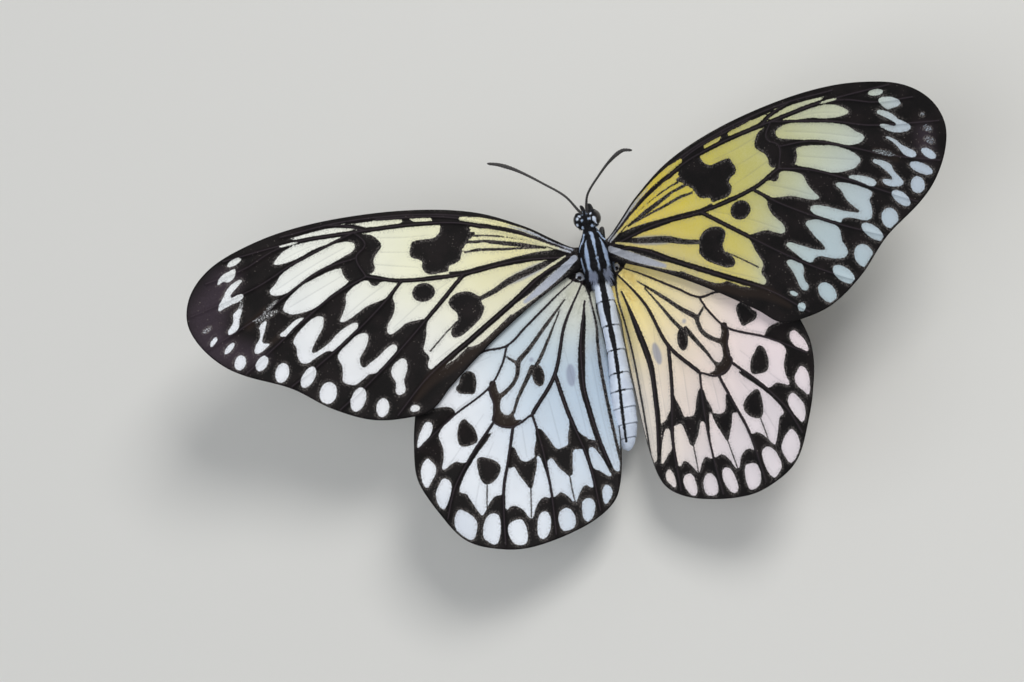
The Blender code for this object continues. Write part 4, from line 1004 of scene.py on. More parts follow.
def wing_material():
    material, shader = new_material("wing_scales", {"Roughness": 0.6, "Specular IOR Level": 0.13,
                                                    "Sheen Weight": 0.02, "Sheen Roughness": 0.5})
    places = millimetres(material)
    scale = cells(material, places, SCALE_SIZE)
    speck = math_node(material, "ADD", scale.outputs["Color"], 0.0)
    clouds = cloud(material, places, CLOUD_SIZE)
    ink, fold, vein = [attribute(material, name) for name in ("ink", "fold", "vein")]
    black = ramp(material, frayed(material, ink, cloud(material, places, GRAIN_SIZE), 0.3), -0.06, 0.06)
    pane = pane_colour(material, ink, fold, clouds, speck)
    soot = soot_colour(material, ink, vein, clouds, speck)
    link(material, mixed(material, black, pane, soot), shader, "Base Color")
    crest = math_node(material, "MULTIPLY", ramp(material, vein, 0.0, 0.28, 1.0, 0.0), 1.2)
    height = math_node(material, "MULTIPLY", scale.outputs["Distance"], 0.5)
    height = math_node(material, "ADD", height, crest)
    height = math_node(material, "SUBTRACT", height, ramp(material, fold, -0.3, 0.05, 0.0, 0.8))
    height = math_node(material, "ADD", height, math_node(material, "MULTIPLY", black, 0.15))
    bumped(material, shader, height, 0.35, 0.0001)
    link(material, ramp(material, speck, 0.0, 1.0, 0.5, 0.72), shader, "Roughness")
    return material


WING_SCALES = wing_material()
print("material", WING_SCALES.name, "has", len(WING_SCALES.node_tree.nodes), "nodes")

# %% [markdown]
# Every piece is a mesh that rides on the one body. Most stand for nodes of the solid model.
# %% Meshes and pieces
def numbered_mesh(name, places, faces, numbers):
    """A mesh from body-frame millimetres, with its numbers and tints as attributes."""
    mesh = bpy.data.meshes.new(name)
    mesh.from_pydata(to_floor_frame(places).tolist(), [], [tuple(int(i) for i in face) for face in faces])
    for title, values in numbers.items():
        if values.ndim == 1:
            mesh.attributes.new(title, "FLOAT", "POINT").data.foreach_set("value", values.astype(np.float32))
        else:
            whole = np.concatenate([values, np.ones((len(values), 1))], axis=1).astype(np.float32)
            mesh.attributes.new(title, "FLOAT_COLOR", "POINT").data.foreach_set("color", whole.ravel())
    return mesh


def add_piece(name, mesh, nodes=()):
    """A piece that rides on the one body and takes the place of the solid nodes."""
    piece = in_scene(name, mesh)
    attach(piece, "root")
    if nodes:
        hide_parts(*nodes)
    return piece


def mesh_piece(name, places, faces, material, slot_name, nodes=(), numbers=None):
    """A smooth piece of one material, from body-frame millimetres."""
    mesh = numbered_mesh(name, places, faces, numbers or {})
    mesh.materials.append(material)
    mesh.polygons.foreach_set("use_smooth", [True] * len(mesh.polygons))
    mesh.update()
    return add_piece(name, mesh, nodes)


print("a piece is made from millimetres, with its numbers as attributes")

# %% [markdown]
# Now the sheets. A wing isn't flat: between two veins the membrane sinks a little, each vein
# stands out above and below, and the trailing part ripples. The rise stays inside the solid's
# thickness, apart from the veins' crests, which follow the solid's own ridges.
# %% Build the four wings
HALF_SHEET, VEIN_RISE, VEIN_HALF, PANE_SINK = 0.11, 0.24, 0.26, 0.16
RIPPLE_HEIGHT, RIM_TAPER, RIPPLE_FROM_RIM, SINK_FROM_RIM, SINK_FROM_VEIN = 0.05, 0.35, 1.5, 2.0, 2.2


def ripple(places):
    """A shallow wave that runs both along and across the wing."""
    return RIPPLE_HEIGHT * np.sin(places[:, 0] * 0.9 + places[:, 1] * 0.35) * np.sin(places[:, 1] * 0.8)


def for_side(places, faces, side):
    """The places and faces of a left wing, or their mirror image for the right one."""
    if side == "left":
        return places, faces
    return places * (-1, 1, 1), [tuple(face)[::-1] for face in faces]


def build_wing(name, side, flat, pattern, sheet):
    """One wing as a closed sheet, its upper and its under side joined round the rim."""
    places, triangles, rim_count = flat
    vein, rim = pattern["vein"], pattern["rim"]
    tube = np.exp(-(vein / VEIN_HALF) ** 2)
    valley = PANE_SINK * smoothstep(vein / SINK_FROM_VEIN) * smoothstep(rim / SINK_FROM_RIM)
    thin = smoothstep(rim / RIM_TAPER)
    middle = sheet(places[:, 0], places[:, 1], side)
    middle[:, 2] += ripple(places) * smoothstep(rim / RIPPLE_FROM_RIM) - valley
    top, under = middle.copy(), middle.copy()
    top[:, 2] += HALF_SHEET * thin + VEIN_RISE * tube * thin
    under[:, 2] -= HALF_SHEET * thin + 0.5 * VEIN_RISE * tube * thin
    count = len(places)
    inner = np.arange(count) >= rim_count
    below = np.where(inner, np.arange(count) + count - rim_count, np.arange(count))
    both, faces = for_side(np.concatenate([top, under[inner]]),
                           np.concatenate([triangles[:, ::-1], below[triangles]]), side)
    numbers = {key: np.concatenate([values, values[inner]]) for key, values in pattern.items()}
    mesh_piece(f"scaled_{name}", both, faces, WING_SCALES, "wing", [name], numbers)


for name, (side, flat, pattern, _, sheet) in WINGS.items():
    build_wing(name, side, flat, pattern, sheet)
for name in ("scaled_forewing_left", "scaled_hindwing_right"):
    piece = bpy.data.objects[name]
    up = sum(p.normal.z * p.area for p in piece.data.polygons if p.normal.z > 0)
    print(piece.name, len(piece.data.polygons), "triangles,", round(up * 1e6), "mm2 seen from above")

# %% [markdown]
# ## The body
# Head, thorax and abdomen are soft and furred, so one closed skin stands for all three and lies
# just inside them. It is a loft: at each station along the body there is a middle, a half width
# and a half height, and the rings between are smoothed from them. The neck and the waist stay
# narrow, as in life.
# %% Stations of the body
SKIN_DEPTH = 0.09
STATIONS = np.array([
    (-32.8, -1.78, -1.45, 0.4, 0.4), (-32.2, -1.72, -1.4, 0.9, 0.9), (-31.0, -1.56, -1.3, 1.45, 1.45),
    (-28.6, -1.2, -1.1, 1.95, 1.9), (-26.0, -0.92, -0.9, 2.08, 2.05), (-23.0, -0.57, -0.7, 1.95, 2.0),
    (-20.0, -0.22, -0.55, 1.62, 1.85), (-16.2, 0.12, -0.45, 1.45, 1.8), (-12.0, 0.19, -0.4, 1.42, 1.85),
    (-7.0, 0.29, -0.4, 1.5, 1.75), (-4.9, 0.25, -0.4, 1.3, 1.45), (-4.6, 0.22, -0.5, 1.42, 1.58),
    (-4.0, 0.22, -0.6, 1.9, 2.1), (-3.2, 0.22, -0.75, 2.15, 2.4), (-2.4, 0.2, -0.85, 2.5, 2.8),
    (-0.8, 0.2, -0.95, 2.7, 3.05), (0.9, 0.2, -0.95, 2.65, 2.95), (2.0, 0.22, -0.85, 2.35, 2.5),
    (2.6, 0.25, -0.75, 1.85, 2.0), (3.1, 0.3, -0.65, 1.75, 1.9), (3.95, 0.32, -0.55, 1.2, 1.3),
    (4.25, 0.34, -0.3, 1.15, 1.25), (5.2, 0.34, -0.3, 1.55, 1.6), (6.4, 0.34, -0.35, 1.5, 1.55),
    (7.2, 0.34, -0.45, 1.1, 1.25), (7.6, 0.34, -0.5, 0.6, 0.8)])
SKIN_ENDS = (-32.75, 7.6)
SEGMENT_JOINTS = [-8.1, -12.2, -16.3, -20.1, -23.0, -25.8, -28.5, -30.7]
RING_STEP, AROUND, SMOOTH_REACH = 0.12, 104, 0.22
BACK_TURN = [(-33, 4), (-28, 4), (-20, 10), (-10, 13), (-5, 20), (-3, 18), (3.3, 18), (4.2, 0), (8, 0)]


def station_at(y):
    """Middle x, middle z, half width and half height of the skin at each y."""
    fine = np.arange(-34.0, 9.0, 0.02)
    weights = np.exp(-(np.arange(-40, 41) * 0.02 / SMOOTH_REACH) ** 2)
    weights /= weights.sum()
    stations, *columns = STATIONS.T
    return [np.interp(y, fine, np.convolve(np.interp(fine, stations, column), weights, "same"))
            for column in columns]


def back_angle(y):
    """How far the middle of the back is turned to the insect's right, in radians."""
    return np.radians(np.interp(y, *np.array(BACK_TURN).T))


print("skin rings:", len(np.arange(*SKIN_ENDS, RING_STEP)))

# %% [markdown]
# Places on the skin are given as millimetres round the body from the middle of the back, and
# millimetres along it. The hard plates show as gentle swellings: a collar behind the neck, a
# shoulder plate over each wing's root, the domed thorax, its small hind shield, and the rings of
# the abdomen, each of which ends in a low step over the next.
# %% Plates and rings of the body
def mirrored(marks):
    """Each mark and its mirror image across the middle of the back."""
    def flip(value):
        if isinstance(value, list):
            return [(-a, b) for a, b in value] if isinstance(value[0], tuple) else value
        return (-value[0], value[1]) if isinstance(value, tuple) else value
    return marks + [(kind, *[flip(v) for v in values]) for kind, *values in marks]


PLATES = mirrored(shapes(outlines=[
    [(2.2, 2.5), (3, 1.9), (3.5, 0.8), (3.6, -0.6), (3.2, -1.4), (2.7, -0.6), (2.3, 0.8)]], ovals=[
    ((0.35, 3.3), (1.9, 3), 0.75)])) + shapes(outlines=[
    [(0, 2.6), (1.5, 2.2), (2, 0.6), (1.9, -0.8), (0, -1.2), (-1.9, -0.8), (-2, 0.6), (-1.5, 2.2)],
    [(0, -1.35), (1.1, -1.5), (1.3, -2.1), (0.6, -2.8), (0, -3), (-0.6, -2.8), (-1.3, -2.1), (-1.1, -1.5)]])
HEAD_DOTS = mirrored(shapes(ovals=[
    ((0.42, 7.15), (0.52, 6.75), 0.5), ((0.66, 5.98), (0.66, 5.6), 0.5), ((1.3, 6.5), (1.3, 6.15), 0.42),
    ((0.88, 4.8), (1, 4.35), 0.52), ((2, 5.6), (2.1, 5), 0.5), ((1.75, 4.25), (1.95, 4), 0.36),
    ((2.9, 6.2), (3, 5.2), 0.4), ((3.6, 4.9), (4, 4.7), 0.5)]))
PLATE_RISE, RING_RISE, GROOVE_DEPTH, GROOVE_WIDTH = 0.15, 0.11, 0.10, 0.12


def ring_profile(y):
    """A low step behind each joint of the abdomen, fading forward to nothing."""
    rise = np.zeros_like(y)
    for joint, before in zip(SEGMENT_JOINTS, [-4.9] + SEGMENT_JOINTS):
        along = (y - joint) / (before - joint)
        here = (along >= 0) & (along < 1)
        rise[here] += RING_RISE * (1 - along[here]) ** 3
        rise -= GROOVE_DEPTH * np.exp(-((y - joint + GROOVE_WIDTH) / GROOVE_WIDTH) ** 2)
    return rise


def ring_faces(count, around):
    """Quads between rings of points that follow each other, and a cap at either end."""
    rings = np.arange(count * around).reshape(count, around)
    faces = [(a, b, c, d) for lower, upper in zip(rings[:-1], rings[1:])
             for a, b, c, d in zip(lower, np.roll(lower, -1), np.roll(upper, -1), upper)]
    return faces + [tuple(rings[0][::-1]), tuple(rings[-1])]


def build_skin_places():
    """The skin's places and faces, its places on the flat map, and their turn about the body."""
    ys = np.arange(*SKIN_ENDS, RING_STEP)
    angles = np.linspace(-math.pi, math.pi, AROUND, endpoint=False)
    y, angle = [grid.ravel() for grid in np.meshgrid(ys, angles, indexing="ij")]
    cx, cz, wide, tall = station_at(y)
    turned = (angle - back_angle(y) + math.pi) % (2 * math.pi) - math.pi
    flat_places = np.stack([turned * (wide + tall) / 2, y], axis=1)
    plate = smoothstep(deepest(flat_places, PLATES) / 0.45)
    plate = plate + 0.8 * smoothstep(deepest(flat_places, HEAD_DOTS) / 0.3 + 0.4)
    bump = PLATE_RISE * plate + ring_profile(y) - SKIN_DEPTH
    end = smoothstep((y + 32.8) / 0.5) * smoothstep((7.65 - y) / 0.4)
    x = cx + (wide * np.sqrt(end) + bump * end) * np.sin(angle)
    z = cz + (tall * np.sqrt(end) + bump * end) * np.cos(angle)
    return np.stack([x, y, z], axis=1), ring_faces(len(ys), AROUND), flat_places, angle


SKIN_PLACES, SKIN_FACES, SKIN_FLAT, SKIN_ANGLE = build_skin_places()
print("skin:", len(SKIN_FACES), "faces")

# %% [markdown]
# Head and thorax are black velvet with bluish-white dots and stripes, mirrored across the back.
# The abdomen is bluish white with a black line down the back that widens towards the waist.
# %% Marks of the body
THORAX_STRIPES = mirrored(shapes(outlines=[
    [(0.75, -3), (1.5, -2.8), (2.2, -3), (2.2, -3.9), (1.3, -4.4), (0.55, -4)]], ovals=[
    ((4.6, 2), (5.3, 1.2), 0.7), ((5.6, -0.2), (6.4, -1), 0.8), ((4.9, -2.2), (5.6, -2.9), 0.7),
    ((6.9, 1.4), (7.4, 0.6), 0.6)], streaks=[
    ([(1.5, 3.45), (1.95, 2.6), (2.5, 1.9), (3.3, 1.1)], [0.5, 0.42, 0.32, 0.3]),
    ([(1.25, 2.3), (1.5, 1.3), (1.72, 0.2), (1.8, -1), (1.9, -2.4), (1.3, -3)],
     [0.1, 0.5, 0.95, 0.8, 0.6, 0.35]),
    ([(3.2, -0.3), (3.5, -1.4), (3.3, -2.4)], [0.3, 0.55, 0.3])])) + shapes(ovals=[
    ((0, -0.65), (0, -1.15), 0.5)], streaks=[
    ([(0, 3.4), (0.02, 2.6), (0, 1.2), (0, -0.35)], [0.62, 0.55, 0.3, 0.28]),
    ([(0, -1.2), (0.05, -1.9), (0, -2.5)], [0.12, 0.2, 0.4])])
BACK_LINE = shapes(streaks=[
    ([(0, -4.3), (0, -6.5), (0, -8.3), (0, -10), (0, -12.2), (0, -14.5), (0, -16.5), (0, -20), (0, -23),
     (0, -26), (0, -28.5), (0, -31.2)],
     [1.3, 1.15, 1.45, 0.95, 1.15, 0.75, 0.8, 0.5, 0.55, 0.6, 0.5, 0.45])]) + mirrored(shapes(streaks=[
    ([(3.9, -5), (4.1, -12), (4.1, -20), (4.3, -26), (3.3, -31)], [0.35, 0.3, 0.25, 0.3, 0.3])]))


WAIST, LAST_DARK_RING = -4.5, -23.5
RING_HALF, RING_REACH = 0.14, 0.95


def body_numbers():
    """Depth in black, and how far each place belongs to the front, its rear, a joint or the belly."""
    aside, y = SKIN_FLAT.T
    joint = np.min([np.abs(y - j) for j in SEGMENT_JOINTS], axis=0)
    ring = np.where(y > LAST_DARK_RING, np.minimum(RING_HALF - joint, RING_REACH - np.abs(aside)), -1.0)
    ink = np.where(y > WAIST, -deepest(SKIN_FLAT, HEAD_DOTS + THORAX_STRIPES),
                   np.maximum(deepest(SKIN_FLAT, BACK_LINE), ring))
    rear = 0.85 * smoothstep((-2.0 - y) / 1.0) * smoothstep((y + 4.9) / 0.4)
    return {"ink": np.clip(ink, -FAR, FAR), "fore": smoothstep((y + 4.75) / 0.5), "rear": rear,
            "joint": np.clip(joint, 0, FAR), "under": smoothstep((np.abs(SKIN_ANGLE) - 1.6) / 0.9)}


BODY_NUMBERS = body_numbers()
print("body is black over", round(100 * float((BODY_NUMBERS["ink"] > 0).mean())), "% of its points")

# %% [markdown]
# Short flat scales and fur cover the skin. Lying this flat they read as a fine nap that runs
# backward, so the material stretches its noise along the body and lets it drive bump, roughness
# and a little colour. A soft sheen gives the velvet edge.
# %% Velvet of the body
NAP_SIZE, TUFT_SIZE = 0.11, 1.6


def velvet_material():
    material, shader = new_material("body_velvet", {"Roughness": 0.75, "Specular IOR Level": 0.13,
                                                    "Sheen Weight": 0.03, "Sheen Roughness": 0.4,
                                                    "Sheen Tint": (0.75, 0.82, 1.0, 1.0)})
    places = millimetres(material)
    along = add_node(material, "ShaderNodeMapping", {"Scale": (1.0, 0.22, 1.0)}, {"Vector": places})
    nap = cloud(material, along.outputs[0], NAP_SIZE, 3.0)
    clouds = cloud(material, places, TUFT_SIZE)
    black = ramp(material, frayed(material, attribute(material, "ink"), nap, 0.5), -0.08, 0.08)
    white = mixed(material, attribute(material, "fore"), (0.72, 0.80, 0.93), (0.42, 0.54, 0.74))
    white = mixed(material, attribute(material, "rear"), white, (0.20, 0.22, 0.31))
    white = layered(material, white, [(clouds, 0.3, 0.7, 0.0, 0.3, (0.40, 0.46, 0.60))])
    white = mixed(material, attribute(material, "under"), white, (0.62, 0.62, 0.58))
    white = layered(material, white, [
        (attribute(material, "joint"), 0.02, 0.16, 0.75, 0.0, (0.10, 0.12, 0.17))])
    soot = mixed(material, ramp(material, nap, 0.3, 0.7), (0.003, 0.003, 0.004), (0.011, 0.011, 0.014))
    colour = layered(material, mixed(material, black, white, soot), [
        (nap, 0.42, 0.66, 0.0, 0.03, (0.25, 0.27, 0.31))])
    link(material, colour, shader, "Base Color")
    bumped(material, shader, nap, 0.55, 0.0001)
    link(material, ramp(material, nap, 0.2, 0.8, 0.6, 0.85), shader, "Roughness")
    return material


BODY_VELVET = velvet_material()
SKIN = mesh_piece("body_skin", SKIN_PLACES, SKIN_FACES, BODY_VELVET, "cuticle", ["head", "thorax", "abdomen"],
                  BODY_NUMBERS)

# %% [markdown]
# ## Eyes
# Each compound eye is a smooth, dark ball of thousands of lenses. The lenses are far too fine for
# mesh, so a cell pattern dimples a finely divided ball, and a pale rim of scales frames it.
# %% Eyes
EYE_RADII, EYE_ASIDE = (1.0, 1.3, 1.45), 1.32
EYE_RINGS, EYE_AROUND = 40, 64
FACET = 0.075


def eye_middle(sign):
    return np.array(EYES_MIDDLE) + (sign * EYE_ASIDE, 0, 0)


def ball(middle, radii, rings, around):
    """Places and faces of a closed ball."""
    places = [(middle[0], middle[1], middle[2] + radii[2])]
    for i in range(1, rings):
        a = math.pi * i / rings
        for k in range(around):
            b = 2 * math.pi * k / around
            places.append((middle[0] + radii[0] * math.sin(a) * math.cos(b),
                           middle[1] + radii[1] * math.sin(a) * math.sin(b),
                           middle[2] + radii[2] * math.cos(a)))
    places.append((middle[0], middle[1], middle[2] - radii[2]))
    faces = [(0, 1 + k, 1 + (k + 1) % around) for k in range(around)]
    for i in range(rings - 2):
        row = 1 + i * around
        faces += [(row + k, row + around + k, row + around + (k + 1) % around, row + (k + 1) % around)
                  for k in range(around)]
    row, last = 1 + (rings - 2) * around, len(places) - 1
    faces += [(row + k, last, row + (k + 1) % around) for k in range(around)]
    return np.array(places), faces


def eye_material():
    material, shader = new_material("eye_gloss", {"Roughness": 0.2, "Specular IOR Level": 0.5,
                                                  "Coat Weight": 0.3, "Coat Roughness": 0.08})
    places = millimetres(material)
    lens = cells(material, places, FACET).outputs["Distance"]
    colour = layered(material, (0.012, 0.008, 0.006), [
        (cloud(material, places, 0.5), 0.35, 0.7, 0.0, 1.0, (0.045, 0.024, 0.014)),
        (lens, 0.3, 0.6, 0.0, 1.0, (0.004, 0.003, 0.003))])
    link(material, colour, shader, "Base Color")
    bumped(material, shader, lens, 0.5, 0.00003, invert=True)
    return material


EYE_GLOSS = eye_material()
for side, sign in SIDES.items():
    mesh_piece(f"compound_eye_{side}", *ball(eye_middle(sign), EYE_RADII, EYE_RINGS, EYE_AROUND), EYE_GLOSS,
               "eye", [f"eye_{side}"])
print("two eyes,", round(4 * math.pi * (sum(EYE_RADII) / 3) ** 2 / FACET ** 2), "lenses each")

# %% [markdown]
# Seen from above, the fur of the head laps over the inner half of each eye and carries more of
# the white dots. It is a thin shell over the ball, cut off where the open lenses begin.
# %% Brows over the eyes
HEAD_MIDDLE = 0.42
BROW_LIFT, BROW_THICKNESS, BROW_LOW = 0.07, 0.05, -0.6
BROW_REACH, BROW_WAVE = 0.42, 0.10
BROW_RINGS, BROW_AROUND = 60, 90
BROW_DOTS = mirrored(shapes(ovals=[
    ((0.62, 5.98), (0.62, 5.6), 0.5), ((0.85, 4.8), (0.95, 4.35), 0.52),
    ((0.97, 6.7), (1, 6.35), 0.42)])) + shapes(ovals=[
        ((1.3, 5.95), (1.72, 4.7), 0.6), ((-1.35, 6.35), (-1.38, 5.9), 0.42),
        ((-1.6, 5.4), (-1.62, 4.98), 0.42)])


def brow_edge(local):
    """How far outward the brow reaches, which waves a little from front to back."""
    return BROW_REACH + BROW_WAVE * np.cos(3 * local[:, 1])


def brow(sign):
    """The shell's places and faces, how deep each place lies in black, and its outer side alone."""
    middle = eye_middle(sign)
    radii = np.array(EYE_RADII) + BROW_LIFT
    places, faces = ball(middle, radii, BROW_RINGS, BROW_AROUND)
    local = (places - middle) * (sign, 1, 1)
    edge = brow_edge(local)
    kept = (local[:, 0] < edge) & (local[:, 2] > BROW_LOW)
    chosen = [face for face in faces if kept[list(face)].all()]
    used, renumbered = np.unique(np.concatenate([np.array(face) for face in chosen]), return_inverse=True)
    sizes = np.cumsum([0] + [len(face) for face in chosen])
    outer = [tuple(renumbered[a:b]) for a, b in zip(sizes, sizes[1:])]
    top, count = places[used], len(used)
    edges = {(a, b) for face in outer for a, b in zip(face, face[1:] + face[:1])}
    open_edges = [(a, b) for a, b in edges if (b, a) not in edges]
    rim = np.array(sorted({a for a, b in open_edges if local[used[a], 0] > edge[used[a]] - 0.12}))
    on_edge = local[used[rim]]
    for _ in range(4):
        on_edge[:, 0] = brow_edge(on_edge)
        on_edge /= np.linalg.norm(on_edge / radii, axis=1)[:, None]
    top[rim] = middle + on_edge * (sign, 1, 1)
    inner = middle + (top - middle) * (1 - BROW_THICKNESS)
    walls = [(b, a, a + count, b + count) for a, b in open_edges]
    closed = outer + [tuple(i + count for i in face[::-1]) for face in outer] + walls
    whole = np.concatenate([top, inner])
    flat_places = np.stack([whole[:, 0] - HEAD_MIDDLE, whole[:, 1]], axis=1)
    return whole, closed, -deepest(flat_places, BROW_DOTS), top, outer


def brow_numbers(ink):
    """The velvet's numbers on a brow, which is neither thorax nor belly and far from any joint."""
    none, full = np.zeros(len(ink)), np.ones(len(ink))
    return {"ink": ink, "fore": none, "under": none, "rear": none, "joint": full}


BROWS = {side: brow(sign) for side, sign in SIDES.items()}
for side, (whole, closed, ink, _, _) in BROWS.items():
    mesh_piece(f"brow_{side}", whole, closed, BODY_VELVET, "cuticle", numbers=brow_numbers(ink))
    print("brow", side, "has", len(closed), "faces")

# %% [markdown]
# ## Feelers, palps, tongue and legs
# All of these are tubes along a smooth line with a radius that changes on the way. A feeler is a
# string of some forty short joints that thickens into a slender club. A leg has its own few long
# joints, each a little thicker at its lower end, then five short foot joints and two claws.
# %% Tubes with joints
def tube(points, radii, step, around, swell=None):
    """Places and faces of a closed tube; swell gives a factor from the length along it."""
    line = smooth_line(points, step)
    size = np.interp(np.linspace(0, 1, len(line)), np.linspace(0, 1, len(radii)), radii)
    lengths, run = lengths_along(line), headings(line)
    if swell is not None:
        size = size * swell(lengths, lengths[-1])
    side = np.cross(run[0], (0.0, 0.0, 1.0) if abs(run[0][2]) < 0.9 else (1.0, 0.0, 0.0))
    angles = np.linspace(0, 2 * math.pi, around, endpoint=False)
    places = []
    for spot, ahead, radius in zip(line, run, size):
        side = side - ahead * (side @ ahead)
        side /= np.linalg.norm(side)
        up = np.cross(ahead, side)
        places += [spot + radius * (math.cos(a) * side + math.sin(a) * up) for a in angles]
    return np.array(places), ring_faces(len(line), around)


def joined(parts):
    """Several lists of places and faces as one."""
    places, faces, start = [], [], 0
    for some_places, some_faces in parts:
        places.append(np.asarray(some_places))
        faces += [tuple(i + start for i in face) for face in some_faces]
        start += len(some_places)
    return np.concatenate(places), faces


def chitin_material(name, dark, light, roughness, size):
    material, shader = new_material(name, {"Roughness": roughness, "Specular IOR Level": 0.45,
                                           "Sheen Weight": 0.1})
    places = millimetres(material)
    grain = cloud(material, places, size, 3.0)
    colour = layered(material, dark, [
        (grain, 0.35, 0.7, 0.0, 1.0, light), (cloud(material, places, 1.2), 0.4, 0.75, 0.0, 0.4, dark)])
    link(material, colour, shader, "Base Color")
    bumped(material, shader, grain, 0.4, 0.00004)
    link(material, ramp(material, grain, 0.2, 0.8, roughness - 0.1, roughness + 0.12), shader, "Roughness")
    return material


FEELER_SKIN = chitin_material("feeler_skin", (0.018, 0.016, 0.016), (0.07, 0.066, 0.066), 0.5, 0.12)
print("a tube of two places has", len(tube([(0, 0, 0), (0, 0, 1)], [0.1, 0.1], 0.5, 8)[1]), "faces")

# %% [markdown]
# Both feelers rise forward from the brow. The right one bends up more steeply, as in the
# photograph. A small socket closes each root.
# %% Feelers
FEELERS = {
    "left": [(0.0, 6.6, 0.6), (-0.4, 7.5, 1.6), (-1.75, 10.1, 2.8), (-4.6, 12.85, 3.6), (-8.2, 15.9, 4.1),
             (-10.9, 17.6, 4.3), (-13.0, 18.4, 4.4)],
    "right": [(0.75, 6.6, 0.6), (1.1, 7.7, 1.6), (2.4, 9.4, 3.9), (5.6, 11.45, 6.8), (8.4, 13.0, 8.8),
              (11.0, 13.85, 10.2), (12.8, 13.4, 10.9)]}
FEELER_RADII = [0.27, 0.21, 0.2, 0.2, 0.24, 0.36, 0.22]
FEELER_JOINT, FEELER_WAIST, FEELER_TIP = 0.5, 0.17, 0.35
SOCKET_RADII, SOCKET_LIFT = (0.34, 0.34, 0.3), 0.05


def beaded(lengths, whole):
    """Thin waists between the joints of a feeler, and a round tip."""
    waist = 1 - FEELER_WAIST * np.abs(np.cos(math.pi * lengths / FEELER_JOINT)) ** 6
    return waist * np.sqrt(np.clip((whole - lengths) / FEELER_TIP, 0.02, 1))


for side, route in FEELERS.items():
    socket = ball(np.array(route[0]) + (0, 0, SOCKET_LIFT), SOCKET_RADII, 10, 16)
    whole = joined([tube(route, FEELER_RADII, 0.05, 12, beaded), socket])
    mesh_piece(f"feeler_{side}", *whole, FEELER_SKIN, "antenna", [f"antenna_{side}"])
    joints = round(lengths_along(smooth_line(route, FEELER_JOINT))[-1] / FEELER_JOINT)

# %% [markdown]
# Two short palps stand before the face. The tongue leaves the head between them and rolls up
# into a coil, with fine rings along it.
# %% Palps and tongue
PALP = [(0.62, 6.5, -1.2), (0.62, 7.4, -1.5), (0.67, 8.05, -1.1), (0.7, 8.35, -0.35)]
PALP_RADII = [0.36, 0.36, 0.32, 0.16]
PALP_TIP, TONGUE_RING, TONGUE_RISE = 0.3, 0.14, 0.06
COIL_TURNS, COIL_PITCH, COIL_EYE, COIL_TUBE, COIL_POINTS = 2.2, 0.62, 0.4, 0.22, 22
COIL_Y, COIL_Z, COIL_START = 7.0, -4.1, math.radians(75.0)
FUR_BLACK = chitin_material("palp_scales", (0.010, 0.010, 0.011), (0.045, 0.045, 0.05), 0.7, 0.07)
TONGUE_HORN = chitin_material("tongue_horn", (0.016, 0.011, 0.008), (0.05, 0.033, 0.02), 0.35, 0.08)


def round_end(lengths, whole):
    """A tube that narrows to a round tip."""
    return np.sqrt(np.clip((whole - lengths) / PALP_TIP, 0.03, 1))


def tongue_rings(lengths, whole):
    return (1 + TONGUE_RISE * np.sin(2 * math.pi * lengths / TONGUE_RING)) * round_end(lengths, whole)


for side, sign in SIDES.items():
    route = [(EYES_MIDDLE.x + sign * x, y, z) for x, y, z in PALP]
    mesh_piece(f"scaled_palp_{side}", *tube(route, PALP_RADII, 0.08, 16, round_end), FUR_BLACK, "cuticle",
               [f"palp_{side}"])
coil = [(EYES_MIDDLE.x, 6.7, -1.2), (EYES_MIDDLE.x, 7.2, -2.0)]
for i in range(COIL_POINTS + 1):
    turn = COIL_TURNS * i / COIL_POINTS
    reach, a = COIL_EYE + COIL_PITCH * (COIL_TURNS - turn), COIL_START - 2 * math.pi * turn
    coil.append((EYES_MIDDLE.x, COIL_Y + reach * math.cos(a), COIL_Z + reach * math.sin(a)))
mesh_piece("coiled_tongue", *tube(coil, [COIL_TUBE, COIL_TUBE, 0.7 * COIL_TUBE], 0.035, 12, tongue_rings),
           TONGUE_HORN, "cuticle", ["proboscis"])
print("the tongue is coiled", COIL_TURNS, "times")

# %% [markdown]
# The forelegs are folded against the thorax. The middle and hind legs reach the floor and stand
# on their last foot joints, and nothing of them sinks below their soles.
# %% Parts of a leg
FORE_LEG = [(1.2, 2.6, -2.4), (1.5, 4.3, -4.1), (1.35, 3.0, -4.6), (1.3, 1.8, -4.5)]
FORE_LEG_RADII = [0.4, 0.35, 0.3, 0.2]
WALKING_LEGS = {
    "midleg": ((1.3, 0.4, -2.6), [(2.6, 0.8, 7.0), (8.0, 4.2, 8.8), (10.9, 6.6, 1.4), (11.5, 7.2, 0.2),
                                  (15.4, 10.6, 0.2)]),
    "hindleg": ((1.2, -2.6, -2.4), [(2.4, -4.0, 7.0), (6.8, -10.4, 8.4), (8.9, -16.6, 1.5), (9.2, -17.5, 0.2),
                                    (10.4, -23.2, 0.2)])}
LEG_RADII = [0.48, 0.42, 0.32, 0.24, 0.22, 0.2]
FOOT_JOINTS, SOLE = 5, 0.012
CLAW_LENGTH, CLAW_RADIUS, CLAWS_APART = 0.55, 0.07, 0.06
CLAW_HOOK = ((-0.2, 0.1, 0), (0.35, 0.35, 0.25), (0.8, 0.25, 0.45), (1.0, -0.15, 0.5))
SPINE_PAIRS, SPINE_LENGTH, SPINE_RADII = 16, 0.42, [0.035, 0.028, 0.008]
SPINES_FROM, SPINES_TO, SHIN_RADIUS = 0.5, 0.97, 0.22
FLOOR_UP = np.array(PITCH.transposed() @ Vector((0, 0, 1)))
LEG_CHITIN = chitin_material("leg_chitin", (0.006, 0.006, 0.007), (0.032, 0.030, 0.031), 0.5, 0.09)


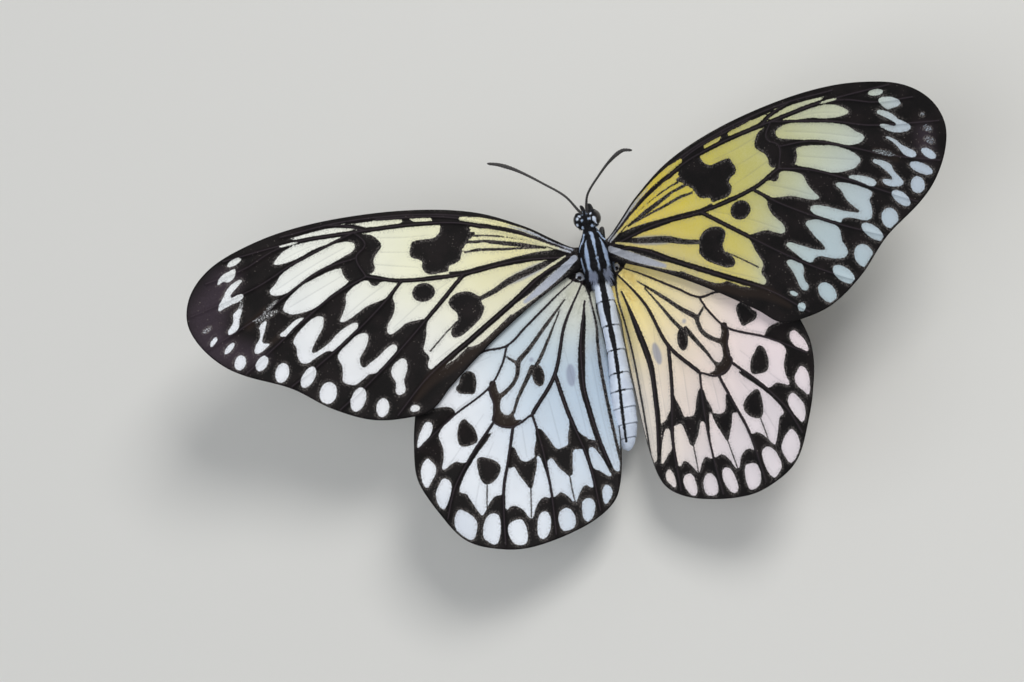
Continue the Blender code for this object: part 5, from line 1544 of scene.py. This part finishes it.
def to_body_frame(place):
    """Millimetres over the floor, from the point under the body's origin, become body-frame ones."""
    return tuple(PITCH.transposed() @ (Vector(place) - Vector((0, 0, BODY_ORIGIN.z / MM))))


def over_floor(places):
    """Nothing of a leg reaches below its sole."""
    places = np.array(places)
    high = to_floor_frame(places)[:, 2] / MM
    return places + np.maximum(SOLE - high, 0)[:, None] * FLOOR_UP


def leg_swell(foot_start):
    """Each foot joint widens towards its lower end, and the long joints bulge at the knees."""
    def swell(lengths, whole):
        in_foot = np.clip((lengths / whole - foot_start) / (1 - foot_start), 0, 1)
        step = (in_foot * FOOT_JOINTS) % 1
        foot = 1 - 0.22 * (1 - smoothstep(step / 0.75)) * (in_foot > 0)
        return foot * round_end(lengths, whole)
    return swell


def claws(route):
    """Two small hooks at the end of a foot."""
    end, before = np.array(route[-1]), np.array(route[-2])
    ahead = (end - before) / np.linalg.norm(end - before)
    aside = np.cross(ahead, FLOOR_UP)
    radii = [CLAW_RADIUS * part for part in (1, 0.8, 0.55, 0.15)]
    return [tube([tuple(end + ahead * a * CLAW_LENGTH + FLOOR_UP * b * CLAW_LENGTH
                        + aside * sign * (CLAWS_APART + c * CLAW_LENGTH)) for a, b, c in CLAW_HOOK],
                 radii, 0.05, 8) for sign in (-1, 1)]


def spines(route):
    """Pairs of fine spines along the underside of a shin and foot."""
    line = smooth_line(route, 0.1)
    parts = []
    for k in range(SPINE_PAIRS):
        i = int((SPINES_FROM + (SPINES_TO - SPINES_FROM) * k / SPINE_PAIRS) * (len(line) - 2))
        ahead = (line[i + 1] - line[i]) / np.linalg.norm(line[i + 1] - line[i])
        aside = np.cross(ahead, (0, 0, 1))
        for sign in (-1, 1):
            tip = (line[i] + ahead * SPINE_LENGTH * 0.8
                   + aside * sign * (SHIN_RADIUS + 0.45 * SPINE_LENGTH) - np.array((0, 0, 0.1)))
            base = line[i] + aside * sign * SHIN_RADIUS * 0.6
            parts.append(tube([tuple(base), tuple((base + tip) / 2 + ahead * 0.03), tuple(tip)],
                              SPINE_RADII, 0.2, 5))
    return parts


print("a leg has", FOOT_JOINTS, "foot joints and", 2 * SPINE_PAIRS, "spines")

# %% [markdown]
# The right legs mirror the left ones, and each walking leg is compared with its solid.
# %% Build the legs
for side, sign in SIDES.items():
    folded = [(sign * x, y, z) for x, y, z in FORE_LEG]
    mesh_piece(f"folded_foreleg_{side}", *tube(folded, FORE_LEG_RADII, 0.08, 14, round_end), LEG_CHITIN,
               "leg", [f"foreleg_{side}"])
    for name, (hip, joints) in WALKING_LEGS.items():
        route = [(sign * x, y, z) for x, y, z in [hip] + [to_body_frame(place) for place in joints]]
        lengths = lengths_along(np.array(route))
        shape = tube(route, LEG_RADII, 0.09, 14, leg_swell(lengths[-2] / lengths[-1]))
        places, faces = joined([shape] + claws(route) + spines(route))
        node = f"{name}_{side}"
        piece = mesh_piece(f"jointed_{node}", over_floor(places), faces, LEG_CHITIN, "leg", [node])
        corners = np.array([v.co for v in piece.data.vertices])
        past = np.array([corners.min(axis=0), corners.max(axis=0)]) - np.array(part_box(node))
        print(piece.name, "differs from its solid's box by, mm", np.round(past / MM, 2).tolist())

# %% [markdown]
# ## Coat
# Where the fur breaks the outline it has to be real mesh: a ruff on the thorax, short pile on the
# head and abdomen, long hairs over the wing roots, and the fringe of scales round each wing. One
# Geometry Nodes tree makes them all. It scatters points where the surface says so, stands one
# tapered blade on each, leans it back along the body and realizes the result.
# %% The blade and the tree that plants it
def blade_object(name, sides, flatness, bend):
    """A tapered blade one unit long and one unit wide, bent forward at its middle."""
    places, faces = [], []
    for height, size, shift in ((0, 1.0, 0.0), (0.5, 0.8, bend)):
        places += [(0.5 * size * math.cos(2 * math.pi * k / sides),
                    0.5 * size * flatness * math.sin(2 * math.pi * k / sides) + shift, height)
                   for k in range(sides)]
    places.append((0, 0, 1.0))
    for k in range(sides):
        following = (k + 1) % sides
        faces += [(k, following, sides + following, sides + k), (sides + k, sides + following, 2 * sides)]
    faces.append(tuple(reversed(range(sides))))
    mesh = bpy.data.meshes.new(name)
    mesh.from_pydata(places, [], faces)
    return bpy.data.objects.new(name, mesh)


def planting_tree():
    """From points on the ground, by way of one blade at each, to the finished mesh."""
    tree = bpy.data.node_groups.new("plant_blades", "GeometryNodeTree")
    tree.interface.new_socket("Geometry", in_out="INPUT", socket_type="NodeSocketGeometry")
    for title, kind in (("Blade", "Object"), ("Density", "Float"), ("Length", "Float"), ("Width", "Float"),
                        ("Lean", "Float"), ("Lie", "Vector"), ("Mess", "Float"), ("Seed", "Int"),
                        ("Finish", "Material")):
        tree.interface.new_socket(title, in_out="INPUT", socket_type="NodeSocket" + kind)
    tree.interface.new_socket("Geometry", in_out="OUTPUT", socket_type="NodeSocketGeometry")
    given = tree.nodes.new("NodeGroupInput").outputs

    def node(kind, links=None, values=None, **settings):
        return tree_node(tree, kind, values, links, **settings)

    def named(title):
        return node("GeometryNodeInputNamedAttribute", values={"Name": title},
                    data_type="FLOAT").outputs["Attribute"]

    def product(a, b):
        return node("ShaderNodeMath", {0: a, 1: b}, operation="MULTIPLY").outputs[0]

    def scaled(vector, factor):
        return node("ShaderNodeVectorMath", {0: vector, "Scale": factor}, operation="SCALE").outputs[0]

    def added(a, b):
        return node("ShaderNodeVectorMath", {0: a, 1: b}, operation="ADD").outputs[0]

    points = node("GeometryNodeDistributePointsOnFaces", {
        "Mesh": given["Geometry"], "Density": product(given["Density"], named("fur")), "Seed": given["Seed"]})
    astray = node("FunctionNodeRandomValue", {"Seed": given["Seed"]},
                  {0: (-1.0, -1.0, -1.0), 1: (1.0, 1.0, 1.0)}, data_type="FLOAT_VECTOR").outputs[0]
    way = added(points.outputs["Normal"], scaled(given["Lie"], given["Lean"]))
    way = added(way, scaled(astray, given["Mess"]))
    turn = node("FunctionNodeAlignRotationToVector", {"Vector": way}, axis="Z")
    long = node("FunctionNodeRandomValue", {"Seed": given["Seed"]}, {"Min": 0.55, "Max": 1.15},
                data_type="FLOAT").outputs[1]
    tall = product(product(given["Length"], long), named("pile"))
    size = node("ShaderNodeCombineXYZ", {"X": given["Width"], "Y": given["Width"], "Z": tall})
    blade = node("GeometryNodeObjectInfo", {"Object": given["Blade"]})
    planted = node("GeometryNodeInstanceOnPoints", {
        "Points": points.outputs["Points"], "Instance": blade.outputs["Geometry"],
        "Rotation": turn.outputs[0], "Scale": size.outputs[0]})
    real = node("GeometryNodeRealizeInstances", {"Geometry": planted.outputs[0]})
    finished = node("GeometryNodeSetMaterial", {"Geometry": real.outputs[0], "Material": given["Finish"]})
    node("NodeGroupOutput", {0: finished.outputs[0]})
    return tree


PLANTING = planting_tree()
HAIR = blade_object("hair_blade", 3, 0.7, 0.25)
BRISTLE = blade_object("scale_blade", 4, 0.25, 0.15)
print("inputs:", [item.name for item in PLANTING.interface.items_tree if item.in_out == "INPUT"])

# %% [markdown]
# A coat piece is planted on a bare copy of its ground, which carries four numbers: how thick the
# fur grows there, how long it is, and where the place lies on the ground's own unwrap. Each blade
# ends up as one small patch at its root's place on that unwrap.
# %% Plant a coat
PATCH = 0.003


def blades_on(ground, values):
    """All the blades that the tree plants on the ground, as one mesh."""
    holder = in_scene(ground.name, ground)
    modifier = holder.modifiers.new("coat", "NODES")
    modifier.node_group = PLANTING
    for item in PLANTING.interface.items_tree:
        if item.in_out == "INPUT" and item.name in values:
            modifier[item.identifier] = values[item.name]
    holder.update_tag()
    bpy.context.view_layer.update()
    evaluated = holder.evaluated_get(bpy.context.evaluated_depsgraph_get())
    mesh = bpy.data.meshes.new_from_object(evaluated)
    holder.modifiers.remove(modifier)
    bpy.data.objects.remove(holder)
    return mesh


def lay_patches(mesh, blade_size):
    """A UV map where each blade is one small patch at its root's place on the unwrap."""
    roots = [np.zeros(len(mesh.vertices), np.float32) for _ in range(2)]
    for column, title in zip(roots, ("root_u", "root_v")):
        mesh.attributes[title].data.foreach_get("value", column)
    corner = np.zeros(len(mesh.loops), np.int32)
    mesh.loops.foreach_get("vertex_index", corner)
    which = corner % blade_size
    patch = PATCH * np.stack([which / blade_size - 0.5, (which * 3 % blade_size) / blade_size - 0.5], axis=1)
    spread = np.stack(roots, axis=1)[corner] + patch
    mesh.uv_layers.new(name="OFBake").data.foreach_set("uv", spread.astype(np.float32).ravel())


def plant(name, places, faces, numbers, unwrap, finish, slot_name, **values):
    """One coat piece, from the ground's numbers and the planting tree's inputs."""
    numbers = {**numbers, "root_u": unwrap[:, 0], "root_v": unwrap[:, 1]}
    mesh = blades_on(numbered_mesh(name + "_ground", places, faces, numbers), {**values, "Finish": finish})
    mesh.name = name
    blade_size = len(values["Blade"].data.vertices)
    lay_patches(mesh, blade_size)
    triangles = sum(len(p.vertices) - 2 for p in mesh.polygons)
    print(name, len(mesh.vertices) // blade_size, "blades,", triangles, "triangles")
    return add_piece(name, mesh)


print("a blade's patch is", PATCH, "wide on the unwrap")

# %% [markdown]
# The thorax wears a ruff that grows longer on its flanks and towards the waist. The fur of the
# head is short, and the abdomen has a thin, low pile.
# %% Fur of the body
BACKWARD = tuple(PITCH @ Vector((0.0, -1.0, -0.05)))
PILE = {"Blade": HAIR, "Length": 0.75 * MM, "Lie": BACKWARD, "Mess": 0.35}
BODY_UNWRAP = np.stack([SKIN_ANGLE / (2 * math.pi) + 0.5, (SKIN_FLAT[:, 1] + 33.0) / 41.0], axis=1)


FUR_WAIST, RUFF_BACK, RUFF_FRONT, HEAD_FUR_FROM = -5.2, -2.2, 4.4, 4.2
FUR_TAIL, LEAST_PILE = -33.2, 0.12


def body_fur():
    """How thick and how long the fur is, over the skin."""
    y = SKIN_FLAT[:, 1]
    flank = smoothstep((np.abs(SKIN_ANGLE) - 0.9) / 0.8)
    behind = 1 - smoothstep((y - FUR_WAIST) / 0.8)
    thorax = smoothstep((y - FUR_WAIST) / 0.8) * smoothstep((RUFF_FRONT - y) / 0.5)
    head = smoothstep((y - HEAD_FUR_FROM) / 0.5)
    dots = smoothstep(deepest(SKIN_FLAT, HEAD_DOTS) / 0.1 + 0.5)
    fur = 0.75 * thorax + 0.55 * head + 0.5 * head * dots + 0.28 * behind
    ruff = thorax * (0.55 + 1.1 * flank + 0.9 * smoothstep((RUFF_BACK - y) / 1.2))
    pile = ruff + 0.45 * head + 0.22 * dots * head + 0.30 * behind * smoothstep((y - FUR_TAIL) / 1.5)
    return fur, np.maximum(pile, LEAST_PILE)


fur, pile = body_fur()
plant("body_fur", SKIN_PLACES, SKIN_FACES, {"fur": fur, "pile": pile, **BODY_NUMBERS}, BODY_UNWRAP,
      BODY_VELVET, "cuticle", **PILE, Density=5.5e7, Width=0.075 * MM, Lean=2.2, Seed=4)
for side, (_, _, ink, top, outer) in BROWS.items():
    ones = np.ones(len(top))
    plant(f"brow_fur_{side}", top, outer,
          {"fur": ones, "pile": 0.35 * ones, **brow_numbers(ink[:len(top)])}, top[:, :2] / 12 + 0.5,
          BODY_VELVET, "cuticle", **PILE, Density=5.0e7, Width=0.07 * MM, Lean=2.0, Seed=7)

# %% [markdown]
# The wings carry long pale hairs over their roots and along the fold beside the abdomen, and a
# dark fringe no longer than a few scales round the rim.
# %% Grounds of the wings' coats
FRINGE_STEP, RIBBON_HALF, RIBBON_INSIDE = 0.24, 0.05, 0.03
FRINGE = {"Blade": BRISTLE, "Density": 1.1e8, "Length": 0.3 * MM, "Width": 0.11 * MM, "Lean": 0.3,
          "Mess": 0.22, "Seed": 11}
ROOT_HAIR = {"Blade": HAIR, "Density": 2.4e7, "Length": 0.9 * MM, "Width": 0.05 * MM, "Lean": 4.0,
             "Mess": 0.3, "Seed": 23}
ROOT_WIDTH, ROOT_BACK, HAIR_GROUND = 9, -22, 0.1
UNWRAP_SIZE = 80


def fringe_ground(outline, sheet, side):
    """A narrow ribbon round the rim, whose face looks outward."""
    rim = smooth_line(outline, FRINGE_STEP, closed=True)
    run = np.roll(rim, -1, axis=0) - np.roll(rim, 1, axis=0)
    area = np.sum(rim[:, 0] * np.roll(rim[:, 1], -1) - np.roll(rim[:, 0], -1) * rim[:, 1])
    turn = 1 if area > 0 else -1
    outward = turn * np.stack([run[:, 1], -run[:, 0]], axis=1) / np.linalg.norm(run, axis=1)[:, None]
    rim = rim - RIBBON_INSIDE * outward
    middle = sheet(rim[:, 0], rim[:, 1], side)
    places = np.concatenate([middle + (0, 0, RIBBON_HALF), middle - (0, 0, RIBBON_HALF)])
    count = len(rim)
    faces = [(a, b, b + count, a + count)[::-turn]
             for a, b in zip(range(count), np.roll(np.arange(count), -1))]
    clear = smoothstep((rim[:, 0] - 1.5) / 1.5)
    return *for_side(places, faces, side), np.concatenate([clear, clear]), np.concatenate([rim, rim])


def fringe_numbers(clear):
    """A fringe's scales are all black, far from every vein and mark."""
    ones = np.ones(len(clear))
    return {"fur": clear, "pile": ones, "ink": ones, "vein": FAR * ones,
            **{kind: -FAR * ones for kind in SHOWN_MARKS}, "tint": np.tile((0.1, 0.1, 0.1), (len(clear), 1))}


def root_ground(flat, sheet, side):
    """The sheet's places and faces close to the body, and which of the wing's points they are."""
    spots, triangles, _ = flat
    near = spots[triangles].mean(axis=1)
    chosen = triangles[(near[:, 0] < ROOT_WIDTH) & (near[:, 1] > ROOT_BACK)]
    keep, renumbered = np.unique(chosen, return_inverse=True)
    places = sheet(*spots[keep].T, side) + (0, 0, HAIR_GROUND)
    return *for_side(places, renumbered.reshape(-1, 3)[:, ::-1], side), keep


def root_numbers(title, spots, pattern):
    """Hairs thin out away from the hinge and keep off the edges of the marks."""
    root = 1 - smoothstep((np.linalg.norm(spots * (1.0, 0.8), axis=1) - 1.5) / 6.0)
    clear, thick = smoothstep((np.abs(pattern["ink"]) - 0.12) / 0.2), root
    if title == "hindwing":
        fold = (1 - smoothstep((spots[:, 0] - 0.4) / 1.4)) * smoothstep((spots[:, 1] - ROOT_BACK) / 8)
        thick = np.maximum(root, 0.6 * fold)
        clear *= smoothstep((np.linalg.norm(spots - ROOT_RING, axis=1) - 1.2) / 0.5)
    return {**pattern, "fur": clear * thick, "pile": 0.4 + 0.4 * root}


print("the fringe grows from a ribbon", 2 * RIBBON_HALF, "mm high")

# %% [markdown]
# The fringe stands nearly straight out from the rim, while the hairs lie outward and back.
# %% Plant the fringes and root hairs
for name, (side, flat, pattern, outline, sheet) in WINGS.items():
    title, sign = name.removesuffix("_" + side), SIDES[side]
    places, faces, clear, unwrap = fringe_ground(outline, sheet, side)
    plant(f"{title}_fringe_{side}", places, faces, fringe_numbers(clear), unwrap / UNWRAP_SIZE + 0.5,
          WING_SCALES, "wing", **FRINGE, Lie=(sign * 0.3, -1.0, 0.0))
    places, faces, keep = root_ground(flat, sheet, side)
    spots = flat[0][keep]
    numbers = root_numbers(title, spots, {key: values[keep] for key, values in pattern.items()})
    plant(f"{title}_root_hair_{side}", places, faces, numbers, spots / UNWRAP_SIZE + 0.5,
          WING_SCALES, "wing", **ROOT_HAIR, Lie=(sign * 0.75, -0.65, 0.18))
for blade in (HAIR, BRISTLE):
    bpy.data.objects.remove(blade)
